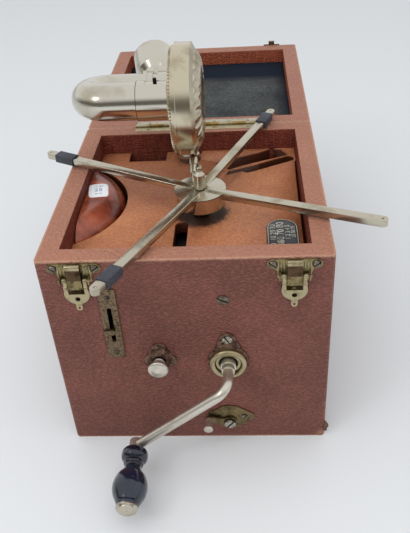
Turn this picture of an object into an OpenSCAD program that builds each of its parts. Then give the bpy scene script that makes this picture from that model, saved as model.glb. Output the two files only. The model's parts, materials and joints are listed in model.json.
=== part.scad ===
// Portable gramophone in a small leather-covered case, shown open and ready to play.
// The origin is the centre of the case's underside; +X is to the right, +Y to the back, +Z up.

/* [Case] */
// Width of the case, side to side
case_w = 165; // [155:1:185]
// Depth of the case, front to back
case_d = 170; // [166:1:190]
// Height of the case without its lid
case_h = 145; // [142:1:165]
// Thickness of the covered wooden walls
wall_t = 12; // [10:0.5:13]
// Thickness of the bottom board
floor_t = 8; // [5:0.5:9]
// Radius of the upright corners
corner_r = 2.5; // [1:0.5:5]
// Depth of the motor board below the rim
board_drop = 15; // [13:0.5:17]
// Thickness of the motor board
board_t = 8; // [6:0.5:9]

/* [Lid] */
// Height of the lid, outside
lid_h = 20; // [18:0.5:26]
// Depth of the recess inside the lid
lid_recess = 11.5; // [8:0.5:12]
// Thickness of the felt lining
felt_t = 1.2; // [0.8:0.1:2]
// Gap between the lid and the case at the back
lid_gap = 0.4; // [0.3:0.1:1]

/* [Hinge] */
// Length of the hinge
hinge_len = 92; // [80:1:110]
// Number of knuckles
hinge_knuckles = 9; // [5:2:11]
// Width of one hinge leaf
leaf_w = 8.4; // [7:0.2:10]
// Thickness of a hinge leaf
leaf_t = 1.2; // [0.8:0.1:1.5]
// Radius of the hinge knuckles
knuckle_r = 1.7; // [1.5:0.05:1.7]
// Radius of the hinge pin
hinge_pin_r = 0.85; // [0.7:0.05:0.9]

/* [Turntable] */
// Distance of the spindle to the right of the middle
spindle_x = 6.4; // [5.4:0.1:7.4]
// Distance of the spindle in front of the middle
spindle_front = 14; // [13:0.1:15]
// Reach of the record arms from the spindle to their tips
arm_reach = 117; // [108:0.5:119]
// Width of a record arm
arm_w = 5.8; // [5:0.2:6.6]
// Height of a record arm
arm_h = 4; // [3.6:0.1:4]
// Height of the hub's disc above the rim
hub_rise = 3; // [2.8:0.1:3.6]
// Rise of the record arms from the spindle out, in degrees
arm_rise = 2.23; // [2:0.01:2.6]
// Turn of the first record arm from straight right
arm_turn = -24.6; // [-28:0.1:-20]
// Radius of the hub disc
hub_r = 16.1; // [15:0.1:17]
// Radius of the spindle where the record sits
spindle_r = 3.5; // [3:0.1:4]
// Height of the spindle above the record arms
spindle_rise = 11.8; // [10:0.1:13]
// Length of a rubber sleeve
sleeve_len = 14; // [10:0.5:18]
// Distance of a rubber sleeve from the arm's tip
sleeve_inset = 8.6; // [6:0.2:12]
// Thickness of the rubber sleeve
sleeve_t = 0.8; // [0.6:0.05:0.8]

/* [Tone arm] */
// Distance of the tone arm's pivot left of the middle
pivot_left = 5.5; // [4:0.1:7]
// Distance of the tone arm's pivot from the inside of the back wall
pivot_inset = 12; // [11:0.5:16]
// Radius of the bottom of the conical foot
foot_r = 9.2; // [8.4:0.1:10]
// Radius of the column above the foot
column_r = 5; // [4.6:0.1:5.6]
// Height of the gooseneck's front leg above the rim
neck_rise = 48.2; // [47:0.2:54]
// Radius of the gooseneck tube
tube_r = 11.5; // [10.5:0.1:12]
// Thickness of the tube's wall
tube_t = 1.2; // [0.8:0.1:1.6]
// Distance between the two legs of the gooseneck
leg_gap = 25.9; // [25:0.1:28]
// Drop of the rear leg behind the front one, in degrees
leg_slope = 8.9; // [6:0.1:11]
// Distance of the bend's middle from the sound box plane
bend_x = 50.7; // [47:0.1:54]
// Radius of the sound outlet behind the gooseneck
outlet_r = 13.6; // [13:0.1:14]

/* [Sound box] */
// Radius of the sound box
box_r = 34; // [31:0.5:34]
// Thickness of the sound box's rim
box_t = 10; // [9:0.2:11]
// Slant of the needle below level
needle_slant = 24; // [22:0.5:25]

/* [Winding crank] */
// Distance of the crank shaft right of the middle
crank_x = 22.1; // [18:0.1:26]
// Depth of the crank shaft below the rim
crank_drop = 75.8; // [73:0.2:78]
// Radius of the crank's turning circle
crank_reach = 76; // [66:0.5:80]
// Radius of the crank rod
rod_r = 3.1; // [2.6:0.1:3.4]
// Fall of the crank arm below level, to the left
crank_fall = 39.4; // [30:0.1:42]
// Length of the handle
handle_len = 42; // [36:0.5:50]
// Radius of the handle's bulb
handle_r = 10.5; // [9:0.5:12]

/* [Front fittings] */
// Distance of each latch from the middle
latch_x = 60.5; // [56:0.5:64]
// Distance of the speed slot left of the middle
speed_x = 44.8; // [42:0.2:48]
// Depth of the middle of the speed slot below the rim
speed_drop = 45.8; // [43:0.2:49]
// Length of the speed slot
speed_slot = 26; // [22:0.5:28]
// Distance of the stop knob left of the middle
knob_x = 19; // [17:0.2:21]
// Height of the stop knob above the governor's gear
knob_rise = 8.4; // [7.6:0.1:9.4]
// Height of the catch plate's middle
catch_z = 19.5; // [18:0.5:24]

/* [Motor] */
// Radius of the spring barrel
barrel_r = 27.5; // [24:0.5:28]
// Height of the spring barrel
barrel_h = 23; // [18:0.5:24]
// Size of the barrel gear's teeth
great_module = 1; // [1:1]
// Size of the small gears' teeth
fine_module = 0.8; // [0.8:0.8]

/* [Hidden] */

$fn = 64;
eps = 0.02;
run_gap = 0.05;
front_y = -case_d / 2;
back_y = case_d / 2;
in_x = case_w / 2 - wall_t;
in_y = case_d / 2 - wall_t;
board_z = case_h - board_drop;
under_z = board_z - board_t;

// Turntable heights
spindle_y = -spindle_front;
hub_top = case_h + hub_rise;
arm_z = hub_top - arm_h / 2;
hub_bot = board_z + 7.5;
disc_t = 1.6;
spindle_top = hub_top + spindle_rise;
spindle_bevel = 2;

// Tone arm places
pivot_x = -pivot_left;
pivot_y = in_y - pivot_inset;
neck_z = case_h + neck_rise;
foot_z = board_z + 4.2;
neck_top = foot_z + 15.6;
neck_front = 43.6;
neck_y = pivot_y - neck_front;
needle_tip = [1.85, neck_y - 25.3, hub_top + 1];
rear_y = neck_y + leg_gap * cos(leg_slope);
rear_z = neck_z - leg_gap * sin(leg_slope);
box_x0 = -6;
box_x1 = box_x0 + box_t;
back_t = 3;
leg_end = box_x0 - back_t;

// The pocket is a slice of a large circle cut off by the left wall
pocket_r = 55.5;
pocket_cx = -in_x - 28.5;
pocket_cy = 1;
pocket_depth = 34;
pocket_wall = 2.5;
fit_gap = 0.3;

// Motor heights
plate_t = 3;
low_z = floor_t + 1.2;
barrel_z = low_z + plate_t + 1.8;
great_z = barrel_z + barrel_h + 0.5;
top_z = under_z - 7;
arbor_y = -30;
great_teeth = 60;
lay_small = 10;
lay_large = 40;
spindle_small = 12;
spindle_large = 40;
governor_small = 8;
great_run = great_module * (great_teeth + lay_small) / 2;
lay_run = fine_module * (lay_large + spindle_small) / 2;
governor_run = fine_module * (spindle_large + governor_small) / 2;
// The layshaft stands where its two centre distances cross
arbor_x = crank_x;
ab_x = spindle_x - arbor_x;
ab_y = spindle_y - arbor_y;
ab = sqrt(ab_x * ab_x + ab_y * ab_y);
lay_a = (great_run * great_run - lay_run * lay_run + ab * ab) / (2 * ab);
lay_h = sqrt(great_run * great_run - lay_a * lay_a);
lay_x = arbor_x + lay_a * ab_x / ab + lay_h * ab_y / ab;
lay_y = arbor_y + lay_a * ab_y / ab - lay_h * ab_x / ab;
governor_turn = 178;
governor_x = spindle_x + governor_run * cos(governor_turn);
governor_y = spindle_y + governor_run * sin(governor_turn);
crank_z = case_h - crank_drop;
speed_z = case_h - speed_drop;
pointer_z = speed_z - 3.6;
disc_z = pointer_z + 3.2;
// The two upper gears and the balls share the room between the barrel's gear and the friction disc
train_h = disc_z - great_z;
lay_gear_z = great_z + 0.204 * train_h;
gov_gear_z = great_z + 0.449 * train_h;
ball_z = great_z + 0.71 * train_h;
knob_z = gov_gear_z + knob_rise;
bevel_module = 1.2;
bevel_small = 12;
bevel_large = 24;
bevel_face = 5;
shaft_r = 3;
pin_r = 1.5;

leather = "#8c4a3a";
nickel = "#c9c5ba";
brass = "#a08a55";
steel = "#8f9092";
black = "#15171a";

function sum(v, i = 0) = i < len(v) ? v[i] + sum(v, i + 1) : 0;

// Rectangle with round corners, made of two bars and four circles so that it stays exact
module round_rect(w, d, r) {
    square([w - 2 * r, d], center = true);
    square([w, d - 2 * r], center = true);
    for (x = [-1, 1], y = [-1, 1])
        translate([x * (w / 2 - r), y * (d / 2 - r)]) circle(r);
}

// Slot with round ends between two points
module slot2d(a, b, w) {
    d = b - a;
    l = norm(d);
    translate(a) rotate(atan2(d[1], d[0])) {
        translate([0, -w / 2]) square([l, w]);
        circle(w / 2);
        translate([l, 0]) circle(w / 2);
    }
}

// Puts a flat fitting on the front face: drawing x to the right, drawing y up, height outwards
module on_front(x, z) {
    translate([x, front_y, z]) rotate([90, 0, 0]) children();
}

// Cylinder along X, from x0 to x1, round a given y and z
module rod_x(x0, x1, y, z, r) {
    translate([x0, y, z]) rotate([0, 90, 0]) cylinder(h = x1 - x0, r = r);
}

// Domed screw head with a slot, standing on the drawing plane
module screw_head(r, h, turn = 0) {
    difference() {
        union() {
            cylinder(h = h * 0.5, r = r);
            translate([0, 0, h * 0.5]) cylinder(h = h * 0.5, r1 = r, r2 = r * 0.72);
        }
        rotate(turn) translate([-r * 1.1, -r * 0.14, h * 0.45]) cube([r * 2.2, r * 0.28, h]);
    }
}

// Outline of a spur gear with slim straight-sided teeth
module gear2d(module_size, teeth) {
    r = module_size * teeth / 2;
    root = r - 1.2 * module_size;
    tip = r + 0.75 * module_size;
    step = 360 / teeth;
    polygon([for (i = [0:teeth - 1], k = [0:3])
        let (a = i * step + [-0.27, -0.1, 0.1, 0.27][k] * step, q = (k == 0 || k == 3) ? root : tip)
            [q * cos(a), q * sin(a)]]);
}

module gear(module_size, teeth, h, turn = 0) {
    rotate(turn) linear_extrude(h) gear2d(module_size, teeth);
}

// Case and its fixed wooden parts

module case() {
    color(leather) difference() {
        linear_extrude(case_h) round_rect(case_w, case_d, corner_r);
        translate([-in_x, -in_y, floor_t]) cube([2 * in_x, 2 * in_y, case_h]);
        on_front(crank_x, crank_z) translate([0, 0, -wall_t - 1]) cylinder(h = wall_t + 2, r = bush_r);
        on_front(-knob_x, knob_z) translate([0, 0, -wall_t - 1])
            cylinder(h = wall_t + 2, r = knob_hole_r);
        on_front(-speed_x, speed_z) translate([0, 0, -wall_t - 1]) linear_extrude(wall_t + 2)
            slot2d([0, -speed_slot / 2 + slot_w / 2], [0, speed_slot / 2 - slot_w / 2], slot_w + 1);
        hinge_rebate();
    }
}
bush_r = 8;
knob_hole_r = 2.5;
slot_w = 2.6;

module pocket_plan(r) {
    intersection() {
        translate([pocket_cx, pocket_cy]) circle(r, $fn = 128);
        translate([-in_x, -in_y]) square([60, 2 * in_y]);
    }
}

// Long pockets in the board: each from the end by the hub to the end by the wall, and its width
board_slots = [
    [[23, 47], [54, 68.5], 9],
    [[36, 41.5], [65, 56.5], 8.5]
];
slot_x = spindle_x - 11.7;
slot_end_y = spindle_y - 10.3;
well_x0 = -in_x + 20.5;
well_w = 27.2;
well_d = 14;

module board_plan() {
    difference() {
        square([2 * in_x - 2 * fit_gap, 2 * in_y - 2 * fit_gap], center = true);
        pocket_plan(pocket_r);
        translate([well_x0, in_y - well_d]) square([well_w, well_d + 1]);
        for (s = board_slots) slot2d(s[0], s[1], s[2]);
        slot2d([slot_x, -in_y - 5], [slot_x, slot_end_y - 4], 8.2);
        translate([spindle_x, spindle_y]) circle(5.2);
    }
}

module motor_board() {
    color(leather) translate([0, 0, under_z]) linear_extrude(board_t) board_plan();
}

// Battens under the board, one along each side wall
module board_battens() {
    batten_h = 10;
    batten_w = 7;
    // The front battens end short of the resonator's pocket
    pocket_half = sqrt(pow(pocket_r + pocket_wall, 2) - pow(in_x + pocket_cx, 2));
    front_len = in_y + pocket_cy - pocket_half - 1.5;
    color("#6b4a32") {
        for (x = [-in_x, in_x - batten_w]) translate([x, -in_y, under_z - batten_h])
            cube([batten_w, front_len, batten_h]);
        translate([in_x - batten_w, in_y - 30, under_z - batten_h]) cube([batten_w, 30, batten_h]);
    }
}

// Cup under the D-shaped hole, which holds the resonator
module resonator_pocket() {
    cup_h = pocket_depth - board_t;
    color("#4a3226") translate([0, 0, under_z - cup_h - pocket_wall]) difference() {
        linear_extrude(cup_h + pocket_wall) pocket_shell_plan(pocket_r + pocket_wall);
        translate([0, 0, pocket_wall]) linear_extrude(cup_h + 1) pocket_plan(pocket_r);
    }
}
module pocket_shell_plan(r) {
    intersection() {
        translate([pocket_cx, pocket_cy]) circle(r, $fn = 128);
        translate([-in_x + fit_gap, -in_y + fit_gap]) square([60, 2 * in_y - 2 * fit_gap]);
    }
}

// Open well under the square hole at the back left
module rear_well() {
    well_h = 24;
    color("#4a3226") translate([well_x0 - 2, in_y - well_d - 2, under_z - well_h]) difference() {
        cube([well_w + 4, well_d + 2 - fit_gap, well_h]);
        translate([2, 2, 2]) cube([well_w, well_d - 2 - fit_gap, well_h]);
    }
}

// Moulded resonator, a hollow half bell that is lifted out and set on the sound outlet
module resonator() {
    color("#7a3a24") difference() {
        resonator_solid(pocket_r - 1.6, 7, 15);
        translate([-3, 0, -3]) resonator_solid(pocket_r - 1.6 - 1, 7, 14);
    }
}
module resonator_solid(r, rise, round_r) {
    base = board_z - pocket_depth;
    top = board_z + rise - base;
    intersection() {
        translate([pocket_cx, pocket_cy, base]) rotate_extrude($fn = 96) {
            square([r - round_r, top]);
            square([r, top - round_r]);
            translate([r - round_r, top - round_r]) circle(round_r);
        }
        translate([-in_x + 0.8, -in_y, base]) cube([80, 2 * in_y, top]);
    }
}

// Black plate on the board with plain numbers, at the front right
plate_w = 19;
plate_len = 47;
module number_plate() {
    color(black) translate([in_x - 14.2, in_y - 2 * in_y + 0.6 + plate_len - plate_w / 2, board_z])
        linear_extrude(0.8) {
            circle(plate_w / 2);
            translate([-plate_w / 2, -plate_len + plate_w / 2])
                square([plate_w, plate_len - plate_w / 2]);
        }
}

// Hinge between case and lid

hinge_y = back_y + lid_gap / 2;
leaf_bed = 1;
hinge_z = case_h + 0.1;
leaf_z = case_h - leaf_bed;
// Rebate in the rims for the two leaves and their knuckles
module hinge_rebate() {
    translate([-hinge_len / 2, hinge_y - leaf_w, leaf_z]) cube([hinge_len, 2 * leaf_w, 5]);
    rod_x(-hinge_len / 2 - 0.6, hinge_len / 2 + 0.6, hinge_y, hinge_z, knuckle_r + fit_gap);
}
knuckle_len = hinge_len / hinge_knuckles;

// One leaf: side is -1 for the case and 1 for the lid, first is its first knuckle
module hinge_leaf(side, first) {
    difference() {
        union() {
            translate([-hinge_len / 2, side > 0 ? hinge_y + 0.3 : hinge_y - leaf_w, leaf_z])
                cube([hinge_len, leaf_w - 0.3, leaf_t]);
            for (i = [first:2:hinge_knuckles - 1])
                rod_x(-hinge_len / 2 + i * knuckle_len + 0.1,
                    -hinge_len / 2 + (i + 1) * knuckle_len - 0.1,
                    hinge_y, hinge_z, knuckle_r);
        }
        for (i = [1 - first:2:hinge_knuckles - 1])
            rod_x(-hinge_len / 2 + i * knuckle_len - 0.1, -hinge_len / 2 + (i + 1) * knuckle_len + 0.1,
                hinge_y, hinge_z, knuckle_r + 0.35);
        rod_x(-hinge_len, hinge_len, hinge_y, hinge_z, hinge_pin_r + (first == 0 ? 0 : run_gap));
        for (x = [-0.4, -0.13, 0.13, 0.4])
            translate([x * hinge_len, hinge_y + side * leaf_w * 0.62, leaf_z - 1])
                cylinder(h = 4, r = 1.2);
    }
    for (x = [-0.4, -0.13, 0.13, 0.4])
        translate([x * hinge_len, hinge_y + side * leaf_w * 0.62, leaf_z]) difference() {
            cylinder(h = leaf_t + 0.25, r = 1.2);
            rotate(x * 140) translate([-2, -0.2, leaf_t - 0.1]) cube([4, 0.4, 1]);
        }
}

module hinge_case_leaf() {
    color(nickel) hinge_leaf(-1, 0);
}
module hinge_lid_leaf() {
    color(brass) hinge_leaf(1, 1);
}
module hinge_pin() {
    color(steel) rod_x(-hinge_len / 2 - 0.4, hinge_len / 2 + 0.4, hinge_y, hinge_z, hinge_pin_r);
}

// Lid, laid back flat behind the case

lid_y0 = back_y + lid_gap;
module lid() {
    color(leather) difference() {
        translate([0, lid_y0 + case_d / 2, case_h - lid_h]) linear_extrude(lid_h)
            round_rect(case_w, case_d, corner_r);
        translate([-in_x, lid_y0 + wall_t, case_h - lid_recess - felt_t])
            cube([2 * in_x, 2 * in_y, lid_h]);
        hinge_rebate();
    }
}
module lid_felt() {
    color("#1b222a") translate([-in_x, lid_y0 + wall_t, case_h - lid_recess - felt_t]) difference() {
        cube([2 * in_x, 2 * in_y, felt_t]);
    }
}

// Strike plates on the lid's front edge, with a lug for each latch claw
module strike_plates() {
    for (s = [-1, 1]) color(brass) translate([s * latch_x, lid_y0 + case_d, case_h - 6.5]) {
        translate([0, 0, -1]) rotate([-90, 0, 0]) linear_extrude(0.9) round_rect(16, 11, 2);
        rotate([-90, 0, 0]) translate([-3.4, -1.2, 0.9]) cube([6.8, 2.4, 2.6]);
    }
}

// Leather carrying strap across the outside of the lid, held by two wire loops
strap_len = 104;
module carry_strap() {
    color(leather) translate([0, lid_y0 + case_d / 2, case_h - lid_h]) {
        for (s = [-1, 1]) translate([s * (strap_len / 2 - 11), 0, -3.6]) cube([22, 20, 3], center = true);
        translate([0, 0, -7.4]) cube([strap_len - 34, 19, 3.4], center = true);
        for (s = [-1, 1]) translate([s * (strap_len / 2 - 19.5), 0, -5.5])
            cube([5.4, 19, 7.1], center = true);
    }
}
module strap_loops() {
    color(nickel) for (s = [-1, 1])
        translate([s * (strap_len / 2 + 1.5), lid_y0 + case_d / 2, case_h - lid_h]) {
        translate([0, 0, -1.2]) linear_extrude(1.2) round_rect(8, 30, 3);
        for (t = [-1, 1]) translate([0, t * 11.5, -5.4]) cylinder(h = 4.3, r = 1.1);
        translate([0, 0, -5.4]) rotate([90, 0, 0]) cylinder(h = 25, r = 1.1, center = true);
        for (t = [-1, 1]) translate([0, t * 13.2, -1.8]) rotate([180, 0, 0])
            translate([0, 0, -0.6]) screw_head(1.4, 0.8, 30 * t);
    }
}

// Front fittings

module speed_plate() {
    plate_half = 26;
    color(brass) difference() {
        on_front(-speed_x, speed_z) linear_extrude(1) difference() {
            intersection() {
                translate([0, 0.5]) square([10, 2 * plate_half], center = true);
                translate([0, -14]) circle(40.5);
            }
            slot2d([0, -speed_slot / 2 + slot_w / 2], [0, speed_slot / 2 - slot_w / 2], slot_w);
            for (z = [-21.5, 20.5]) translate([0, z]) circle(1.1);
        }
        // Scale marks beside the slot
        for (k = [-5:5]) on_front(-speed_x + 3.4, speed_z + k * 2.2) translate([0, 0, 0.75])
            cube([k % 5 == 0 ? 2.4 : 1.3, 0.35, 1], center = true);
    }
}

module knob_escutcheon() {
    color(brass) on_front(-knob_x, knob_z) difference() {
        union() {
            linear_extrude(1.1) {
                circle(7.4);
                for (a = [90, 210, 330]) rotate(a) translate([6.3, 0]) circle(4.6);
            }
            cylinder(h = 4.4, r1 = 7.2, r2 = 4.9);
            for (a = [90, 210, 330]) rotate(a) translate([7.8, 0, 1.1]) screw_head(1.7, 1, a + 20);
        }
        translate([0, 0, -1]) cylinder(h = 8, r = 3.7);
    }
}
knob_stem_r = 2.2;

module crank_escutcheon() {
    color(brass) on_front(crank_x, crank_z) difference() {
        union() {
            linear_extrude(1.2) {
                circle(12.4);
                hull() {
                    circle(11.4);
                    translate([0, 17.6]) circle(4.6, $fn = 32);
                }
            }
            rotate_extrude() translate([bush_r - 0.3, 0]) {
                square([3.6, 3.2]);
                translate([1.8, 3.2]) circle(1.8);
            }
        }
        translate([0, 0, -1]) cylinder(h = 8, r = bush_r);
        translate([0, 17.6, -1]) cylinder(h = 4, r = 1.3);
    }
}

// Lozenge plate low on the front, with a raised boss under its screw
catch_pivot = [0, -2.6];
module catch_plate() {
    color(brass) on_front(crank_x - 0.8, catch_z) difference() {
        union() {
            linear_extrude(1.1) {
                hull() {
                    circle(10.6);
                    translate([13, 0.5]) circle(3, $fn = 32);
                }
                hull() {
                    circle(8.6);
                    translate([-11, 3]) circle(3, $fn = 32);
                }
            }
            translate(catch_pivot) cylinder(h = 1.8, r = 7.2);
        }
        translate([catch_pivot[0], catch_pivot[1], -1]) cylinder(h = 6, r = 1.8);
        translate([9.4, 0.6, -1]) cylinder(h = 4, r = 1.1);
    }
}

// Small lever that turns on the lozenge plate's screw and carries a peg
module catch_lever() {
    peg = [-13.6, 2.6];
    color(nickel) on_front(crank_x - 0.8 + catch_pivot[0], catch_z + catch_pivot[1]) difference() {
        union() {
            translate([0, 0, 2.1]) linear_extrude(1.4) {
                circle(4.6);
                slot2d([0, 0], peg, 5);
            }
            translate([peg[0], peg[1], 2.1]) cylinder(h = 8, r = 2.2);
            translate([peg[0], peg[1], 8]) cylinder(h = 3.4, r = 2.9);
        }
        translate([0, 0, 1]) cylinder(h = 4, r = catch_pin_r + run_gap);
    }
}
catch_pin_r = 2.2;

// Slotted screws of the front: the wide one, those of the plates and the catch's shoulder screw
module front_screws() {
    color(nickel) {
        on_front(crank_x - 0.8 + catch_pivot[0], catch_z + catch_pivot[1]) {
            cylinder(h = 1.8, r = 1.75);
            translate([0, 0, 1.8]) cylinder(h = 2, r = catch_pin_r);
            translate([0, 0, 3.8]) screw_head(3.9, 1.7, 50);
        }
        on_front(crank_x - 1.3, crank_z + 46.8) screw_head(3.5, 1, -25);
        on_front(crank_x, crank_z + 17.6) translate([0, 0, 1.2]) screw_head(3, 1.1, -60);
        on_front(crank_x - 0.8 + 9.4, catch_z + 0.6) translate([0, 0, 1.1]) screw_head(1.9, 0.8, 40);
        for (z = [-21.5, 20.5]) on_front(-speed_x, speed_z + z) translate([0, 0, 1])
            screw_head(1.6, 0.5, z);
    }
}

// Latches: a fixed plate, a lever that hangs from it and a claw in the lever's window
latch_z = case_h - 4.4;
lever_z = case_h - 11;
claw_z = case_h - 16;
lever_w = 3;
latch_pin_r = 0.9;

module latch_plate() {
    translate([0, 0, 0]) linear_extrude(0.9) difference() {
        union() {
            translate([-11.8, -3.2]) square([23.6, 6.4]);
            for (s = [-1, 1]) translate([s * 11.8, 0]) circle(3.2);
            hull() {
                translate([0, -1]) square([21, 4], center = true);
                translate([0, -12]) square([13, 2], center = true);
            }
            hull() {
                translate([0, -13]) square([10, 2], center = true);
                translate([0, -20]) circle(3, $fn = 32);
            }
        }
        for (s = [-1, 1]) translate([s * 11.8, 0]) circle(1.4);
        translate([0, -20]) circle(1.2);
    }
    // Two bent ears that hold the lever's pin
    for (s = [-1, 1]) difference() {
        translate([s * 8.2 - 0.5, lever_z - latch_z - 1.8, 0.9]) cube([1, 3.6, lever_w + 1]);
        translate([s * 8.2 - 1, lever_z - latch_z, lever_w]) rotate([0, 90, 0])
            cylinder(h = 2, r = latch_pin_r + run_gap);
    }
}
module latch_plates() {
    color(brass) for (s = [-1, 1]) on_front(s * latch_x, latch_z) latch_plate();
}
module latch_screws() {
    color(steel) for (s = [-1, 1]) on_front(s * latch_x, latch_z) {
        for (t = [-1, 1]) translate([t * 11.8, 0, 0.9]) screw_head(2.4, 1.2, 35 * t);
        translate([0, -20, 0.9]) screw_head(1.9, 0.9, 20);
    }
}

module latch_lever(s) {
    top = lever_z - latch_z;
    color(nickel) on_front(s * latch_x, latch_z) difference() {
        union() {
            translate([0, 0, lever_w - 0.5]) linear_extrude(1.1) difference() {
                union() {
                    translate([-6.6, top - 7]) square([13.2, 7]);
                    translate([0, top - 9]) circle(7.2);
                    translate([-1.8, top - 19]) square([3.6, 5]);
                    translate([0, top - 19]) circle(1.8);
                }
                translate([-4.6, top - 9.2]) square([9.2, 12]);
                translate([0, top - 12.6]) circle(1.5);
                translate([0, top - 18.9]) circle(0.7);
            }
            translate([-9.2, top, lever_w]) rotate([0, 90, 0]) cylinder(h = 4.6, r = latch_pin_r);
            translate([4.6, top, lever_w]) rotate([0, 90, 0]) cylinder(h = 4.6, r = latch_pin_r);
            for (t = [-1, 1], y = [top, claw_z - latch_z]) translate([t * 5.9 - 0.9, y, lever_w])
                rotate([0, 90, 0]) cylinder(h = 1.8, r = 1.4);
        }
        translate([-9, claw_z - latch_z, lever_w]) rotate([0, 90, 0]) cylinder(h = 18, r = 0.6 + run_gap);
    }
}
module latch_lever_left() {
    latch_lever(-1);
}
module latch_lever_right() {
    latch_lever(1);
}

// Claw: an upright strip with a rolled hook at its top, pinned across the lever's window
module latch_claw(s) {
    low = claw_z - latch_z;
    color(nickel) on_front(s * latch_x, latch_z) {
        translate([-6, low, lever_w]) rotate([0, 90, 0]) cylinder(h = 12, r = 0.6);
        translate([-4.1, low, lever_w]) rotate([0, 90, 0]) cylinder(h = 8.2, r = 1.3);
        translate([-4.1, low, lever_w + 0.5]) cube([8.2, case_h - 1.9 - claw_z, 0.8]);
        translate([-4.1, case_h - 1.9 - latch_z, lever_w + 0.1]) rotate([0, 90, 0]) difference() {
            cylinder(h = 8.2, r = 1.2);
            translate([0, 0, -1]) cylinder(h = 12, r = 0.5);
            translate([-0.01, -3, -1]) cube([3, 3, 12]);
        }
    }
}
module latch_claw_left() {
    latch_claw(-1);
}
module latch_claw_right() {
    latch_claw(1);
}

// Speed pointer: a pin through the slot with a bent pointer outside and a guide inside
module speed_pointer() {
    color(nickel) translate([-speed_x, 0, pointer_z]) {
        translate([0, front_y + wall_t + 4, 0]) rotate([90, 0, 0])
            cylinder(h = wall_t + 4 + 3.6, r = 1.15);
        translate([0, front_y - 1.2, 0]) rotate([90, 0, 0]) linear_extrude(1)
            slot2d([0, 0], [-4.2, -1.2], 2);
        translate([0, front_y - 2.2, 0]) rotate([90, 0, 0]) cylinder(h = 1.4, r = 1.9);
        translate([0, front_y + wall_t + 0.4, 0]) rotate([-90, 0, 0]) cylinder(h = 1, r = 3.4);
    }
}

// Inner lever from the pointer to the pad under the governor's disc
lever_x = -speed_x + 30;
finger_x = governor_x + 3.2;
module governor_lever() {
    y0 = front_y + wall_t + 2;
    color(steel) {
        difference() {
            union() {
                translate([0, y0 + 1.6, 0]) rotate([90, 0, 0]) linear_extrude(1.6) difference() {
                    union() {
                        slot2d([-speed_x - 3, pointer_z], [lever_x, pointer_z], 6);
                        slot2d([lever_x, pointer_z], [finger_x, pointer_z], 5);
                    }
                    slot2d([-speed_x - 3.2, pointer_z], [-speed_x + 3, pointer_z], 3.3);
                    translate([-speed_x - 8, pointer_z - 1.65]) square([6, 3.3]);
                }
            }
            translate([lever_x, y0 + 3, pointer_z]) rotate([90, 0, 0])
                cylinder(h = 6, r = pin_r + run_gap);
        }
        translate([finger_x, y0 + 1.6, pointer_z]) rotate([-90, 0, 0])
            cylinder(h = governor_y - 5 - y0 - 1.6, r = 1.5);
    }
}

// Stud in the front wall that the inner lever turns on
module lever_stud() {
    color(steel) translate([lever_x, front_y + wall_t, pointer_z]) rotate([-90, 0, 0]) {
        cylinder(h = 1.9, r = 3);
        cylinder(h = 4.4, r = pin_r);
        translate([0, 0, 4]) cylinder(h = 1, r = 2.6);
    }
}

// Stop knob: a mushroom knob on a long rod with a felt pad for the governor's drum
module knob_profile() {
    polygon([[0, 0], [3.2, 0], [3.4, 0.6], [3.0, 1.4], [2.9, 3.4], [4.8, 4.8], [6.1, 6.2], [6.1, 7.2],
        [5.2, 7.9], [3.2, 8.3], [0, 8.4]]);
}
module stop_knob() {
    color(nickel) on_front(-knob_x, knob_z) translate([0, 0, 5]) rotate_extrude() knob_profile();
    color(steel) translate([-knob_x, 0, knob_z]) {
        translate([0, front_y - 6, 0]) rotate([-90, 0, 0])
            cylinder(h = knob_pad_y - front_y + 6 + eps, r = knob_stem_r);
        translate([0, knob_pad_y, 0]) rotate([-90, 0, 0]) cylinder(h = knob_pad_t, r = knob_pad_r);
    }
}
drum_r = 9.2;
drum_gap_x = governor_x + knob_x;
knob_travel = 3.4;
knob_pad_r = 3.6;
knob_pad_t = 2;
knob_pad_y = governor_y - sqrt(drum_r * drum_r - pow(drum_gap_x - knob_pad_r, 2))
    - knob_travel - 0.15 - knob_pad_t;

// Winding crank

heel_y = arbor_y - bevel_module * bevel_large / 2;
elbow_r = 9;
arm_y = front_y - 25;
module crank_frame() {
    translate([crank_x, 0, crank_z]) rotate([0, 180 - crank_fall, 0]) children();
}
module crank_bush() {
    color(steel) on_front(crank_x, crank_z) difference() {
        translate([0, 0, -wall_t - 2]) cylinder(h = wall_t + 4.4, r = bush_r - fit_gap);
        translate([0, 0, -wall_t - 3]) cylinder(h = wall_t + 8, r = 4.6 + run_gap);
    }
}
module crank_rod() {
    color(nickel) crank_frame() {
        rotate([-90, 0, 0]) {
            translate([0, 0, -arm_y * -1 + elbow_r])
                cylinder(h = heel_y - 1 - arm_y - elbow_r, r = rod_r);
            translate([0, 0, heel_y - 1.5]) cylinder(h = 1.5, r = rod_r + 1.4);
            translate([0, 0, front_y - 6]) cylinder(h = wall_t + 8, r = 4.6);
            translate([0, 0, front_y - 9.5]) cylinder(h = 3.6, r = 3.9);
        }
        translate([elbow_r, arm_y + elbow_r, 0]) rotate(180) rotate_extrude(angle = 90)
            translate([elbow_r, 0]) circle(rod_r);
        translate([elbow_r, arm_y, 0]) rotate([0, 90, 0]) cylinder(h = crank_reach - elbow_r, r = rod_r);
        translate([crank_reach, arm_y + 3.4, 0]) rotate([90, 0, 0]) cylinder(h = 6.8, r = 4.4);
        translate([crank_reach, arm_y - 3.4, 0]) rotate([90, 0, 0])
            cylinder(h = handle_len - 4, r = handle_pin_r);
    }
}
handle_pin_r = 2.4;

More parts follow.
